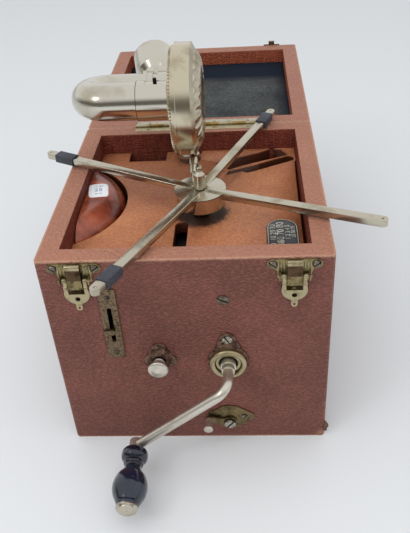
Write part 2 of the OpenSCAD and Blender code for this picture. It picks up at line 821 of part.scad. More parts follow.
// Bevel pinion on the inner end of the crank shaft
bevel_r1 = bevel_module * bevel_small / 2;
bevel_r2 = bevel_module * bevel_large / 2;
bevel_cone = sqrt(bevel_r1 * bevel_r1 + bevel_r2 * bevel_r2);
bevel_taper = (bevel_cone - bevel_face) / bevel_cone;
module crank_gear() {
    color(steel) translate([crank_x, arbor_y - bevel_r2, crank_z]) rotate([-90, 0, 0]) {
        linear_extrude(bevel_face * bevel_r2 / bevel_cone, scale = bevel_taper)
            gear2d(bevel_module, bevel_small);
    }
}

// Turned handle, free to spin on the crank's pin
module crank_handle() {
    l = handle_len;
    b = handle_r;
    color(black) crank_frame() translate([crank_reach, arm_y - 3.7, 0]) rotate([90, 0, 0]) difference() {
        rotate_extrude() polygon(concat([[0, 0], [5.4, 0]],
            [for (a = [-70:20:70]) [5.4 + 2.7 * cos(a), 4.4 + 3.6 * sin(a)]],
            [[5.6, 10], [5.3, 12.4]],
            [for (a = [-60:15:65]) [4.4 + (b - 4.4) * cos(a), l * 0.655 + l * 0.3 * sin(a)]],
            [[6, l - 2.2], [0, l - 2.2]]));
        translate([0, 0, -1]) cylinder(h = l - 3, r = handle_pin_r + run_gap);
    }
}
module handle_cap() {
    l = handle_len;
    color(nickel) crank_frame() translate([crank_reach, arm_y - 3.7 - l + 2.2, 0]) rotate([90, 0, 0])
        rotate_extrude() polygon([[0, 0], [6.2, 0], [6.4, 1], [5.6, 2.4], [3.4, 3.3], [0, 3.6]]);
}

// Motor

frame_w = 87;
frame_d = 84;
frame_left = -31;
frame_front = -62;
pillar_in = 5;
module plate_plan() {
    translate([frame_left, frame_front]) square([frame_w, frame_d]);
}
pillar_spots = [for (y = [frame_front + pillar_in, frame_front + frame_d - pillar_in])
    for (x = [frame_left + pillar_in, frame_left + frame_w - pillar_in]) [x, y]];

module motor_top_plate() {
    color(steel) translate([0, 0, top_z]) linear_extrude(plate_t) difference() {
        plate_plan();
        translate([spindle_x, spindle_y]) circle(shaft_r + run_gap);
        translate([arbor_x, arbor_y]) circle(shaft_r + run_gap);
        translate([lay_x, lay_y]) circle(pin_r + run_gap);
        translate([governor_x, governor_y]) circle(pin_r + run_gap);
        for (p = pillar_spots) translate(p) circle(2);
    }
}
module motor_bottom_plate() {
    color(steel) translate([0, 0, low_z]) linear_extrude(plate_t) difference() {
        plate_plan();
        translate([arbor_x, arbor_y]) circle(shaft_r + run_gap);
        translate([lay_x, lay_y]) circle(pin_r + run_gap);
        for (p = pillar_spots) translate(p) circle(2);
    }
}
module motor_pillars() {
    color(steel) for (p = pillar_spots) translate([p[0], p[1], 0]) {
        translate([0, 0, low_z]) cylinder(h = under_z - low_z, r = 2);
        translate([0, 0, low_z + plate_t]) cylinder(h = top_z - low_z - plate_t, r = 3.6);
        translate([0, 0, top_z + plate_t]) cylinder(h = under_z - top_z - plate_t, r = 3.6);
    }
}

// Post with two arms, which carry the lower ends of the spindle and of the governor
bridge_z = great_z + 5;
upper_bridge_z = gov_gear_z - 7.5;
post_x = governor_x - 11;
post_y = governor_y + 9;
module pivot_bracket() {
    color(steel) {
        translate([post_x, post_y, low_z + plate_t])
            cylinder(h = upper_bridge_z + 3 - low_z - plate_t, r = 3);
        difference() {
            translate([0, 0, bridge_z]) linear_extrude(3)
                slot2d([post_x, post_y], [spindle_x, spindle_y], 8);
            translate([spindle_x, spindle_y, bridge_z + 1]) cylinder(h = 3, r = 2 + run_gap);
        }
        difference() {
            translate([0, 0, upper_bridge_z]) linear_extrude(3)
                slot2d([post_x, post_y], [governor_x, governor_y], 7);
            translate([governor_x, governor_y, upper_bridge_z + 1]) cylinder(h = 3, r = 1 + run_gap);
        }
    }
}

// Bracket under the top plate with the inner bearing of the crank shaft
module winding_bracket() {
    y0 = heel_y - 7;
    color(steel) difference() {
        union() {
            translate([crank_x - 8, y0, crank_z]) cube([16, 4, top_z - crank_z]);
            translate([crank_x, y0 + 4, crank_z]) rotate([90, 0, 0]) cylinder(h = 4, r = 8);
        }
        translate([crank_x, y0 + 5, crank_z]) rotate([90, 0, 0]) cylinder(h = 6, r = rod_r + run_gap);
    }
}

// Barrel arbor with the large bevel wheel, turned by the crank
module winding_arbor() {
    color(steel) translate([arbor_x, arbor_y, 0]) {
        translate([0, 0, low_z - 0.6]) cylinder(h = top_z + plate_t - low_z + 1, r = shaft_r);
        translate([0, 0, crank_z - bevel_r1 - 0.15])
            linear_extrude(bevel_face * bevel_r1 / bevel_cone, scale = bevel_taper)
            rotate(360 / bevel_large / 2 + 90) gear2d(bevel_module, bevel_large);
        translate([0, 0, crank_z - bevel_r1 - 3.15]) cylinder(h = 3, r = 6);
    }
}

// Spring barrel with its gear; the mainspring lies closed inside it
module barrel() {
    color(steel) translate([arbor_x, arbor_y, 0]) difference() {
        union() {
            translate([0, 0, barrel_z]) cylinder(h = barrel_h, r = barrel_r);
            translate([0, 0, great_z - 0.5]) cylinder(h = 0.5, r = barrel_r - 3);
            translate([0, 0, great_z]) gear(great_module, great_teeth, 3);
            translate([0, 0, great_z + 3]) cylinder(h = 1.4, r = 7);
        }
        translate([0, 0, barrel_z - 1]) cylinder(h = great_z - barrel_z + 8, r = shaft_r + run_gap);
    }
}

// Turn that sets a gear's gap against a tooth of the gear it meets, along a given bearing
function mesh_turn(bearing, own_teeth, other_bearing, other_teeth, other_turn) =
    bearing + 180 / own_teeth
        + (other_bearing - other_turn) % (360 / other_teeth) * other_teeth / own_teeth;
lay_bearing = atan2(lay_y - arbor_y, lay_x - arbor_x);
lay_turn = mesh_turn(lay_bearing + 180, lay_small, lay_bearing, great_teeth, 0);
spindle_bearing = atan2(spindle_y - lay_y, spindle_x - lay_x);
spindle_turn = mesh_turn(spindle_bearing + 180, spindle_small, spindle_bearing, lay_large, lay_turn);
governor_gear_turn = mesh_turn(governor_turn + 180, governor_small, governor_turn, spindle_large,
    spindle_turn);

module layshaft() {
    color(brass) translate([lay_x, lay_y, 0]) {
        translate([0, 0, low_z + 0.4]) cylinder(h = top_z + plate_t - low_z - 0.8, r = pin_r);
        translate([0, 0, great_z - 1.5]) gear(great_module, lay_small, 6, lay_turn);
        translate([0, 0, lay_gear_z]) gear(fine_module, lay_large, 3, lay_turn);
        translate([0, 0, great_z + 4.5]) cylinder(h = lay_gear_z - great_z - 4.5, r = 3);
    }
}

// Spindle with its two gears, from the footstep bearing to the chamfered top
module spindle() {
    color(nickel) translate([spindle_x, spindle_y, 0]) {
        translate([0, 0, bridge_z + 1.3]) cylinder(h = 3, r = 2);
        translate([0, 0, bridge_z + 3.6]) cylinder(h = hub_bot - bridge_z - 3.6, r = shaft_r);
        translate([0, 0, hub_bot - eps]) cylinder(h = hub_top - hub_bot + 2 * eps, r = shaft_r);
        translate([0, 0, hub_top]) cylinder(h = spindle_top - spindle_bevel - hub_top, r = spindle_r);
        translate([0, 0, spindle_top - spindle_bevel])
            cylinder(h = spindle_bevel, r1 = spindle_r, r2 = spindle_r * 0.45);
        translate([0, 0, lay_gear_z - 1.5]) gear(fine_module, spindle_small, 6, spindle_turn);
        translate([0, 0, gov_gear_z]) gear(fine_module, spindle_large, 3, spindle_turn);
    }
}

// Places a record arm: along +X from the spindle, rising a little outwards
module arm_frame(i) {
    translate([spindle_x, spindle_y, arm_z]) rotate(arm_turn + 90 * i) rotate([0, -arm_rise, 0])
        children();
}
arm_root = spindle_r + 1.4;

// Hub: a drum with a thin disc on top, cut by a sloping channel for each record arm
module turntable_hub() {
    color(nickel) difference() {
        translate([spindle_x, spindle_y, 0]) {
            translate([0, 0, hub_bot]) cylinder(h = hub_top - disc_t - hub_bot, r = hub_r - 1.3);
            translate([0, 0, hub_top - disc_t]) cylinder(h = disc_t, r = hub_r);
            translate([0, 0, board_z + 1]) cylinder(h = hub_bot - board_z - 1, r = 6);
        }
        translate([spindle_x, spindle_y, board_z]) cylinder(h = 40, r = shaft_r);
        translate([spindle_x, spindle_y, hub_top - 2]) cylinder(h = 10, r = spindle_r + 0.9);
        for (i = [0:3]) arm_frame(i) translate([arm_root, -arm_w / 2, -arm_h / 2])
            cube([hub_r, arm_w, 20]);
    }
}

module record_arm(i) {
    tip = arm_reach - arm_w / 2;
    color(nickel) arm_frame(i) difference() {
        union() {
            translate([arm_root, -arm_w / 2, -arm_h / 2]) cube([tip - arm_root, arm_w, arm_h]);
            translate([tip, 0, -arm_h / 2]) cylinder(h = arm_h, r = arm_w / 2);
        }
        translate([tip, 0, arm_h / 2 - 0.8]) cylinder(h = 2, r = 0.8);
        // Shallow groove along the underside
        translate([hub_r + 4, -arm_w / 4, -arm_h / 2 - 1]) cube([tip - hub_r - 10, arm_w / 2, 2.2]);
    }
}
module record_arm_right() {
    record_arm(0);
}
module record_arm_back() {
    record_arm(1);
}
module record_arm_left() {
    record_arm(2);
}
module record_arm_front() {
    record_arm(3);
}

// Rubber sleeves on three of the four arms; the right arm has lost its own
module arm_sleeves() {
    color(black) for (i = [1:3]) arm_frame(i)
        translate([arm_reach - sleeve_inset - sleeve_len, 0, 0]) rotate([90, 0, 90])
            linear_extrude(sleeve_len) difference() {
                round_rect(arm_w + 2 * sleeve_t, arm_h + 2 * sleeve_t, sleeve_t);
                square([arm_w, arm_h], center = true);
            }
}

// Governor: a fast shaft with a pinion, a brake drum, three balls on straps and a friction disc
module governor() {
    color(brass) translate([governor_x, governor_y, 0]) {
        translate([0, 0, upper_bridge_z + 1.3]) cylinder(h = 3, r = 1);
        translate([0, 0, upper_bridge_z + 3.6])
            cylinder(h = top_z + plate_t - upper_bridge_z - 4, r = pin_r);
        translate([0, 0, gov_gear_z - 2]) gear(fine_module, governor_small, 6, governor_gear_turn);
        translate([0, 0, knob_z - 3]) cylinder(h = 6, r = drum_r);
        translate([0, 0, ball_z - 5.6]) cylinder(h = 2, r = 4.2);
        translate([0, 0, ball_z + 3.6]) cylinder(h = 2, r = 4.2);
        translate([0, 0, disc_z]) cylinder(h = 2, r = 8.6);
        for (a = [0, 120, 240]) rotate(a) {
            translate([8.6, 0, ball_z]) sphere(3.2, $fn = 32);
            translate([6.2, -1.2, ball_z - 0.4]) cube([2, 2.4, 0.8]);
            translate([3.2, -1.2, ball_z - 5.1]) cube([5.4, 2.4, 1]);
            translate([3.2, -1.2, ball_z + 4.1]) cube([5.4, 2.4, 1]);
            translate([7.6, -1.2, ball_z - 5.1]) cube([1, 2.4, 10.2]);
        }
    }
}

// Tone arm

// Fixed spigot on the board on which the column turns
spigot_r = 3.4;
module arm_spigot() {
    color(steel) translate([pivot_x, pivot_y, 0]) {
        translate([0, 0, board_z]) cylinder(h = 3.4, r = foot_r - 1.4);
        translate([0, 0, board_z]) cylinder(h = foot_z + 14 - board_z, r = spigot_r);
    }
}

outlet_y = pivot_y + 15;
outlet_x = -26.1;
outlet_z = rear_z + 11.3;
outlet_lean = -10.2;
outlet_rise = 18.5;
outlet_depth = 27;
tube_end = leg_end - 1.5;
sleeve_x0 = -29.5;
sleeve_r = tube_r + 1.1;

// Places the outlet's axis: its mouth is at the origin and its throat along +Z
module outlet_frame() {
    translate([outlet_x, outlet_y, outlet_z]) rotate([0, 0, -outlet_lean])
        rotate([90 + outlet_rise, 0, 0]) children();
}

// Column with a conical foot, leaning over to the left above the foot to carry the tube
module arm_column() {
    lean = 27.4;
    z1 = neck_top + 8.5;
    color(nickel) difference() {
        union() {
            translate([pivot_x, pivot_y, foot_z]) rotate_extrude()
                polygon([[0, 0], [foot_r, 0], [foot_r, 1], [foot_r - 1.4, 4], [column_r + 0.9, 11],
                    [column_r, neck_top - foot_z],
                    [column_r, z1 - foot_z], [0, z1 - foot_z]]);
            translate([pivot_x, pivot_y, z1]) sphere(column_r);
            translate([pivot_x, pivot_y, z1]) rotate([0, -lean, 0]) cylinder(h = 36, r = column_r);
        }
        translate([pivot_x, pivot_y, foot_z - 1]) cylinder(h = 16, r = spigot_r + run_gap);
        outlet_frame() translate([0, 0, -1]) cylinder(h = outlet_depth + 6, r = outlet_r);
        rod_x(-60, 0, rear_y, rear_z, sleeve_r);
    }
}

// Sleeve that the gooseneck turns in, with its stop slot, and the bell-shaped outlet behind it
module arm_tube() {
    color(nickel) difference() {
        union() {
            rod_x(sleeve_x0, tube_end, rear_y, rear_z, sleeve_r);
            rod_x(sleeve_x0, sleeve_x0 + 2.6, rear_y, rear_z, sleeve_r + 0.7);
            outlet_frame() rotate_extrude()
                polygon([[0, 0], [outlet_r, 0], [outlet_r, 14], [outlet_r - 1.2, 17.5],
                    [outlet_r - 4, 21], [outlet_r - 5.4, 24],
                    [outlet_r - 5.8, outlet_depth], [0, outlet_depth]]);
        }
        rod_x(sleeve_x0 - 16, tube_end - 2.4, rear_y, rear_z, tube_r + run_gap);
        outlet_frame() translate([0, 0, -1]) cylinder(h = 14, r = outlet_r - 1.3);
        outlet_frame() translate([0, 0, 12.9]) cylinder(h = outlet_depth, r = outlet_r - 7.2);
        // Slot that limits the turn of the gooseneck
        translate([stop_x, rear_y, rear_z]) rotate([0, 90, 0]) rotate([0, 0, 90 + 57])
            translate([0, 0, -stop_w / 2])
            rotate_extrude(angle = 91) translate([tube_r - 2, 0]) square([6, stop_w]);
    }
}
stop_x = -21.8;
stop_w = 3;

// Gooseneck: one bent tube with two legs and a stop pin
module neck_plane() {
    translate([-bend_x, neck_y, neck_z]) rotate([-leg_slope, 0, 0]) children();
}
module neck_solid(r) {
    neck_plane() {
        rotate([0, 90, 0]) cylinder(h = bend_x + leg_end, r = r);
        translate([0, leg_gap, 0]) rotate([0, 90, 0]) cylinder(h = bend_x + tube_end - 2.8, r = r);
        translate([0, leg_gap / 2, 0]) rotate(90) rotate_extrude(angle = 180)
            translate([leg_gap / 2, 0]) circle(r);
    }
}
module gooseneck() {
    color(nickel) difference() {
        union() {
            neck_solid(tube_r);
            // Joint collar on the front leg
            rod_x(-32, -30.8, neck_y, neck_z, tube_r + 0.25);
            translate([stop_x, rear_y, rear_z]) rotate([stop_turn, 0, 0])
                cylinder(h = tube_r + 2.4, r = 1.3);
        }
        neck_plane() {
            translate([-eps, 0, 0]) rotate([0, 90, 0])
                cylinder(h = bend_x + leg_end + 2, r = tube_r - tube_t);
            translate([-eps, leg_gap, 0]) rotate([0, 90, 0])
                cylinder(h = bend_x + tube_end - 2.8 + 2, r = tube_r - tube_t);
            translate([0, leg_gap / 2, 0]) rotate(90) rotate_extrude(angle = 180)
                translate([leg_gap / 2, 0]) circle(tube_r - tube_t);
            // Window that lets the sound out into the bell
            translate([bend_x - 33, leg_gap + 2, -9]) cube([14, 12, 18]);
        }
    }
}
stop_turn = 50;

// Sound box

module sound_box_back() {
    color(nickel) difference() {
        union() {
            rod_x(box_x0 - 1.6, box_x0, neck_y, neck_z, box_r - 2.2);
            rod_x(leg_end, box_x0 - 1.6, neck_y, neck_z, box_r - 6);
            rod_x(leg_end - 3, leg_end, neck_y, neck_z, tube_r + 1.3);
        }
        rod_x(leg_end - 4, leg_end, neck_y, neck_z, tube_r);
        rod_x(leg_end - 1, box_x0 + 1, neck_y, neck_z, tube_r - tube_t);
    }
}

// Rim and domed front ring, turned in one piece, with a notch for the needle holder's lever
module sound_box_ring() {
    face = box_x1;
    color(nickel) difference() {
        translate([0, neck_y, neck_z]) rotate([0, 90, 0]) rotate_extrude($fn = 96)
            polygon([[box_r - 5, box_x0], [box_r + 0.4, box_x0], [box_r + 0.4, box_x0 + 1.2],
                [box_r, box_x0 + 1.6],
                [box_r, face], [box_r - 2, face + 1], [box_r - 5, face + 2.6], [box_r - 10, face + 4.6],
                [box_r - 16, face + 5.6], [box_r - 21, face + 5.8], [box_r - 21, face + 4.4],
                    [box_r - 12, face + 3.2],
                [box_r - 5, face]]);
        translate([-0.6, neck_y - 3.2, neck_z - box_r - 2]) cube([4.6, 6.4, 9]);
    }
}

// Thin diaphragm between two rubber rings
module diaphragm() {
    color("#b9b7ae") {
        rod_x(-1.4, -1, neck_y, neck_z, box_r - 5.2);
        for (x = [-2.6, -1]) difference() {
            rod_x(x, x + 1.2, neck_y, neck_z, box_r - 5.1);
            rod_x(x - 1, x + 3, neck_y, neck_z, box_r - 8);
        }
    }
}

// Needle, its chuck with a thumbscrew, and the lever up to the middle of the diaphragm
chuck_end = 18;
chuck_r = 2.8;
foot_drop = 2.5;
foot_reach = 9.4;
module needle_holder() {
    ring_z = neck_z - box_r - 0.4;
    color(nickel) {
        translate(needle_tip) rotate([-(90 - needle_slant), 0, 0]) {
            cylinder(h = 3, r1 = 0.15, r2 = 0.8);
            translate([0, 0, 3]) cylinder(h = 5, r = 0.8);
            translate([0, 0, 7]) cylinder(h = 6, r = chuck_r - 0.6);
            translate([0, 0, 13]) cylinder(h = chuck_end - 13, r = chuck_r);
            translate([0, 0, 10.5]) rotate([0, 90, 0]) cylinder(h = 4.2, r = 1.1);
            translate([0, 0, 10.5]) rotate([0, 90, 0]) translate([0, 0, 2.8]) cylinder(h = 2.4, r = 2.1);
        }
        // Foot under the rim, then the lever up through the notch, in front of the diaphragm
        translate([-0.6, neck_y - foot_reach, ring_z - foot_drop])
            cube([4.4, foot_reach + 2.4, foot_drop - 0.5]);
        hull() {
            translate([0.4, neck_y - 2.4, ring_z - 1.5]) cube([1.8, 4.8, 4]);
            translate([0.4, neck_y - 1, neck_z - box_r + 14]) cube([1.2, 2, 1]);
        }
        translate([0.4, neck_y - 1, neck_z - box_r + 14]) cube([1.2, 2, box_r - 14]);
        rod_x(-1, 1.9, neck_y, neck_z, 2);
    }
}

case();
motor_board();
board_battens();
resonator_pocket();
rear_well();
resonator();
number_plate();
hinge_case_leaf();
hinge_pin();
speed_plate();
knob_escutcheon();
crank_escutcheon();
crank_bush();
catch_plate();
front_screws();
latch_plates();
latch_screws();
arm_spigot();
motor_top_plate();
motor_bottom_plate();
motor_pillars();
pivot_bracket();
winding_bracket();
lever_stud();
lid();
lid_felt();
hinge_lid_leaf();
strike_plates();
carry_strap();
strap_loops();
latch_lever_left();
latch_lever_right();
latch_claw_left();
latch_claw_right();
speed_pointer();
governor_lever();
stop_knob();
catch_lever();
crank_rod();
crank_gear();
crank_handle();
handle_cap();
winding_arbor();
barrel();
layshaft();
spindle();
turntable_hub();
record_arm_right();
record_arm_back();
record_arm_left();
record_arm_front();
arm_sleeves();
governor();
arm_column();
arm_tube();
gooseneck();
sound_box_back();
sound_box_ring();
diaphragm();
needle_holder();
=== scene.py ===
"""Looks of a portable gramophone in a leathercloth case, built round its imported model.

Lengths are in millimetres until a mesh is made, and in metres in Blender. +X is to the right, +Y to
the back and +Z up, and the origin is the centre of the case's underside.
"""

import json
import logging
import math
from collections.abc import Iterator
from contextlib import contextmanager
from dataclasses import dataclass
from enum import Enum
from functools import reduce

import bmesh
import bpy
import numpy as np
from mathutils import Matrix, Vector

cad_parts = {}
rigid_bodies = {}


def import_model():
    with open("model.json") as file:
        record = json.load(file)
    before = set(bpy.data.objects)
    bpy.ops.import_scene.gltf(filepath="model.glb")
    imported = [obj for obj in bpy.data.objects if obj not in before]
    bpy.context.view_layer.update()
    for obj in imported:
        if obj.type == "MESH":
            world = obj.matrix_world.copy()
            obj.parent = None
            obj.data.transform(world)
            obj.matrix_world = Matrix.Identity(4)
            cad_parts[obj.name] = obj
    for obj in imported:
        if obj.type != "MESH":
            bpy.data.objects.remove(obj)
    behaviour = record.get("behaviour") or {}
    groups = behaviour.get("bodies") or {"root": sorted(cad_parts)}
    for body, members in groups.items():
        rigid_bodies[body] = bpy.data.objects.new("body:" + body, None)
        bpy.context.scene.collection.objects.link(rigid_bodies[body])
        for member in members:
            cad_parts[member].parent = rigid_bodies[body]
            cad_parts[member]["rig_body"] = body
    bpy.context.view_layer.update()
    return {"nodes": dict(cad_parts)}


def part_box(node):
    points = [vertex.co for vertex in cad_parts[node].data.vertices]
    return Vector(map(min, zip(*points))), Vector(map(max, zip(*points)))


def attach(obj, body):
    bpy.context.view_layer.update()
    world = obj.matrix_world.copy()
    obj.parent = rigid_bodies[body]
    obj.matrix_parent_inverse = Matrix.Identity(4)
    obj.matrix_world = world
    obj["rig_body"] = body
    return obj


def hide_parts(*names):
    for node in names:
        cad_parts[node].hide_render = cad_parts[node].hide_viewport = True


log = logging.getLogger("gramophone")
MM = 0.001
CELLS_PER_M = 900.0
SHARP_BEND = math.radians(32.0)
FLAT_BEND = math.radians(0.4)
WELD_M = 2e-6
CAPITAL_SHARE = 0.7
Socket = bpy.types.NodeSocket
Point = tuple[float, float, float]
Inputs = dict[str | int, object]


def srgb(code: str) -> tuple[float, float, float, float]:
    """Turns an sRGB hex colour into linear light.

    Args:
        code: a colour such as "#8c4a3a".

    Returns:
        Red, green, blue and an alpha of 1.
    """
    parts = [int(code[i:i + 2], 16) / 255 for i in (1, 3, 5)]
    linear = [v / 12.92 if v <= 0.04045 else ((v + 0.055) / 1.055) ** 2.4 for v in parts]
    return (*linear, 1.0)


class Graph:
    """The nodes of a material or a world, with the few steps that every recipe is made of."""

    def __init__(self, tree: bpy.types.NodeTree) -> None:
        """Keeps the node tree."""
        self.tree = tree

    def feed(self, node: bpy.types.Node, inputs: Inputs) -> bpy.types.Node:
        """Links each input that is given a socket, and sets each one that is given a value."""
        for name, value in inputs.items():
            if isinstance(value, Socket):
                self.tree.links.new(value, node.inputs[name])
            else:
                node.inputs[name].default_value = value
        return node

    def add(self, kind: str, inputs: Inputs | None = None, **settings: object) -> bpy.types.Node:
        """Adds one node.

        Args:
            kind: the node's type name, without its "ShaderNode".
            inputs: sockets or values for its inputs, by name or number.
            settings: values for its attributes.

        Returns:
            The new node.
        """
        node = self.tree.nodes.new("ShaderNode" + kind)
        for name, value in settings.items():
            setattr(node, name, value)
        return self.feed(node, inputs or {})

    def maths(self, operation: str, *values: Socket | float) -> Socket:
        """Works out one operation on sockets or numbers."""
        return self.add("Math", dict(enumerate(values)), operation=operation).outputs[0]

    def product(self, one: Socket, other: Socket) -> Socket:
        """Multiplies two values."""
        return self.maths("MULTIPLY", one, other)

    def sum_of(self, value: Socket, times: float, more: Socket | float) -> Socket:
        """Multiplies a value by a number and adds another value."""
        return self.maths("MULTIPLY_ADD", value, times, more)

    def off_middle(self, value: Socket, low: float, high: float) -> Socket:
        """How far a value in metres lies from the middle of a span in millimetres."""
        return self.maths("ABSOLUTE", self.sum_of(value, 1.0, -(low + high) / 2 * MM))

    def spread(self, value: Socket, low: float, high: float, to: tuple[float, float] = (0.0, 1.0)) -> Socket:
        """Maps a range of values evenly onto another and holds it there.

        Args:
            value: what is mapped.
            low: the value that gives the first end.
            high: the value that gives the second end.
            to: the two ends.

        Returns:
            The mapped value.
        """
        return self.add("MapRange", {0: value, 1: low, 2: high, 3: to[0], 4: to[1]}).outputs[0]

    def tint(self, share: Socket, first: Socket | str, second: Socket | str) -> Socket:
        """Mixes two colours, each a hex code or a socket.

        Args:
            share: 0 gives the first and 1 the second.
            first: one colour.
            second: the other.

        Returns:
            The mixed colour.
        """
        first, second = (srgb(colour) if isinstance(colour, str) else colour for colour in (first, second))
        return self.add("Mix", {0: share, 6: first, 7: second}, data_type="RGBA").outputs[2]

    def noise(self, place: Socket, size_mm: float, detail: float = 4.0, rough: float = 0.6) -> Socket:
        """Cloudy noise whose largest clouds are a given size."""
        inputs = {"Vector": place, "Scale": 1 / (size_mm * MM), "Detail": detail, "Roughness": rough}
        return self.add("TexNoise", inputs).outputs["Fac"]

    def grain(self, place: Socket, high: float) -> Socket:
        """Embossed cells: 1 at each one's middle, falling to 0 at a given distance in cells."""
        inputs = {"Vector": place, "Scale": CELLS_PER_M, "Smoothness": 0.5}
        cells = self.add("TexVoronoi", inputs, feature="SMOOTH_F1")
        return self.spread(cells.outputs["Distance"], 0.05, high, (1.0, 0.0))

    def relief(self, height: Socket, strength: float, depth_mm: float) -> Socket:
        """Bump from a height, with the depth of a full step in millimetres."""
        bump = self.add("Bump", {"Height": height, "Strength": strength, "Distance": depth_mm * MM})
        return bump.outputs[0]

    def split(self, place: Socket) -> list[Socket]:
        """The x, y and z of some coordinates."""
        return list(self.add("SeparateXYZ", {0: place}).outputs)

    def scaled(self, place: Socket, scale: Point, shift: Point = (0.0, 0.0, 0.0)) -> Socket:
        """Coordinates multiplied by a scale and then moved by a shift in metres."""
        return self.add("Mapping", {"Vector": place, "Scale": scale, "Location": shift}).outputs[0]

    def pushed(self, place: Socket, scale: float, reach: float) -> Socket:
        """Coordinates pushed about by noise with a scale per metre and a reach in metres."""
        wander = self.add("TexNoise", {"Vector": place, "Scale": scale, "Detail": 3.0}).outputs["Color"]
        inputs = {0: wander, 1: (reach,) * 3, 2: place}
        return self.add("VectorMath", inputs, operation="MULTIPLY_ADD").outputs[0]

    def from_line(self, place: Socket, through: Point, along: int) -> Socket:
        """Distance from a line.

        Args:
            place: the coordinates.
            through: a point on the line, in millimetres.
            along: the axis that the line runs along, 0, 1 or 2.

        Returns:
            The distance, in metres.
        """
        across = [float(axis != along) for axis in range(3)]
        shift = [-keep * value * MM for keep, value in zip(across, through)]
        moved = self.scaled(place, across, shift)
        return self.add("VectorMath", {0: moved}, operation="LENGTH").outputs["Value"]


class Finish:
    """What a piece is made of or coated with. Each kind has its own recipe of nodes."""

    name: str

    def make(self) -> bpy.types.Material:
        """Builds the material once and returns it."""
        material = bpy.data.materials.get(self.name)
        if material is None:
            material = bpy.data.materials.new(self.name)
            material.use_nodes = True
            graph = Graph(material.node_tree)
            inputs = self.dress(graph, graph.add("TexCoord").outputs["Object"])
            graph.feed(material.node_tree.nodes["Principled BSDF"], inputs)
        return material

    def dress(self, g: Graph, place: Socket) -> Inputs:
        """Adds the finish's nodes.

        Args:
            g: the material's nodes.
            place: the Object coordinates.

        Returns:
            Sockets and values for the surface shader's inputs.
        """
        raise NotImplementedError


@dataclass(frozen=True)
class Leathercloth(Finish):
    """Embossed book cloth glued over wood: dyed brown, wrinkled like fine leather, paled by age on top and
    painted lighter there.

    The wrinkles run sideways and catch small highlights. The rim that faces up is paled by age and carries
    painted light from above. The edges are rubbed pale, the sides of holes through the cloth are bare wood
    painted near black as shade, and the bare wood inside is stained.
    """

    name: str
    valley: str
    peak: str
    faded_and_lit: str
    worn: str
    lining: str
    lining_deep: str
    low_y: float
    high_y: float
    low_z: float
    top_z: float = 145.0
    half_x: float = 82.5
    wall: float = 12.0
    skin: float = 1.3
    rub: float = 1.9
    # Bare wood in the sides of holes, near black so that it paints their shade.
    raw_wood_shade: str = "#1a0c07"
    torn: str | None = None

    @property
    def spans(self) -> tuple[tuple[float, float], ...]:
        """Where the outer faces lie on each axis."""
        return (-self.half_x, self.half_x), (self.low_y, self.high_y), (self.low_z, self.top_z)

    def dress(self, g: Graph, place: Socket) -> Inputs:
        """Cells pushed about by noise and stretched sideways give the wrinkles; places give wear, painted
        light and shade.
        """
        apart = g.split(place)
        # Cells 1.1 mm high and 2.2 mm long
        flat = g.scaled(g.pushed(place, 210.0, 0.0032), (0.5, 0.5, 1.0))
        grain = g.grain(flat, 0.65)
        fine = g.noise(flat, 0.7, 3.0)
        broad = g.noise(place, 38.0, 6.0, 0.62)
        tone = g.sum_of(grain, 0.75, g.sum_of(broad, 1.3, -0.55))
        # The rim that faces up: paled by age, and painted lighter where the light from above falls.
        rim = g.spread(apart[2], (self.top_z - 1.3) * MM, (self.top_z - 0.35) * MM)
        bleached_and_lit = g.tint(g.product(rim, g.sum_of(tone, 0.22, 0.72)), g.tint(tone, self.valley, self.peak),
                          self.faded_and_lit)
        cloth = g.tint(self.wear(g, apart, broad, fine), bleached_and_lit, self.worn)
        if self.torn:
            cloth = g.tint(self.tear(g, place, fine), cloth, self.torn)
        streak = g.spread(g.noise(g.scaled(place, (1.0, 1.0, 0.09)), 1.1, 5.0), 0.34, 0.68)
        stain = g.tint(streak, self.lining_deep, self.lining)
        # Faces within the cloth's thickness, such as the sides of holes: bare wood, painted near black as
        # shade.
        holes = g.tint(self.within(g, apart, self.skin, self.top_z - 1.3), cloth, self.raw_wood_shade)
        return {"Base Color": g.tint(self.within(g, apart, self.wall - 0.45, self.top_z - 0.7), holes, stain),
                "Roughness": g.spread(grain, 0.0, 1.0, (0.68, 0.46)),
                "Normal": g.relief(g.sum_of(fine, 0.5, grain), 1.0, 0.7), "Specular IOR Level": 0.45}

    def wear(self, g: Graph, apart: list[Socket], broad: Socket, fine: Socket) -> Socket:
        """Rubbed where two outer faces meet, near the edge, in ragged patches."""
        near = [g.spread(g.off_middle(value, low, high), ((high - low) / 2 - self.rub) * MM,
                         (high - low) / 2 * MM)
                for value, (low, high) in zip(apart, self.spans)]
        pairs = [g.product(near[a], near[b]) for a, b in ((0, 1), (0, 2), (1, 2))]
        both = g.sum_of(pairs[0], 1.0, g.sum_of(pairs[1], 1.0, pairs[2]))
        return g.spread(g.product(both, g.sum_of(fine, 0.7, broad)), 0.2, 0.85, (0.0, 0.8))

    def tear(self, g: Graph, place: Socket, fine: Socket) -> Socket:
        """The lower right front corner, where the cloth has come off the board."""
        inputs = {0: place, 1: (self.half_x * MM, self.low_y * MM, 0.001)}
        corner = g.add("VectorMath", inputs, operation="DISTANCE").outputs["Value"]
        return g.spread(g.sum_of(fine, 0.008, corner), 0.0104, 0.0082, (0.0, 0.9))

    def within(self, g: Graph, apart: list[Socket], depth: float, below: float) -> Socket:
        """1 on faces deeper than this inside the four sides and under a height, where there is no cloth."""
        masks = [g.maths("LESS_THAN", g.off_middle(value, low, high), ((high - low) / 2 - depth) * MM)
                 for value, (low, high) in zip(apart, self.spans[:2])]
        masks.append(g.maths("LESS_THAN", apart[2], below * MM))
        masks.append(g.maths("GREATER_THAN", apart[2], (self.low_z + self.skin) * MM))
        return reduce(g.product, masks)


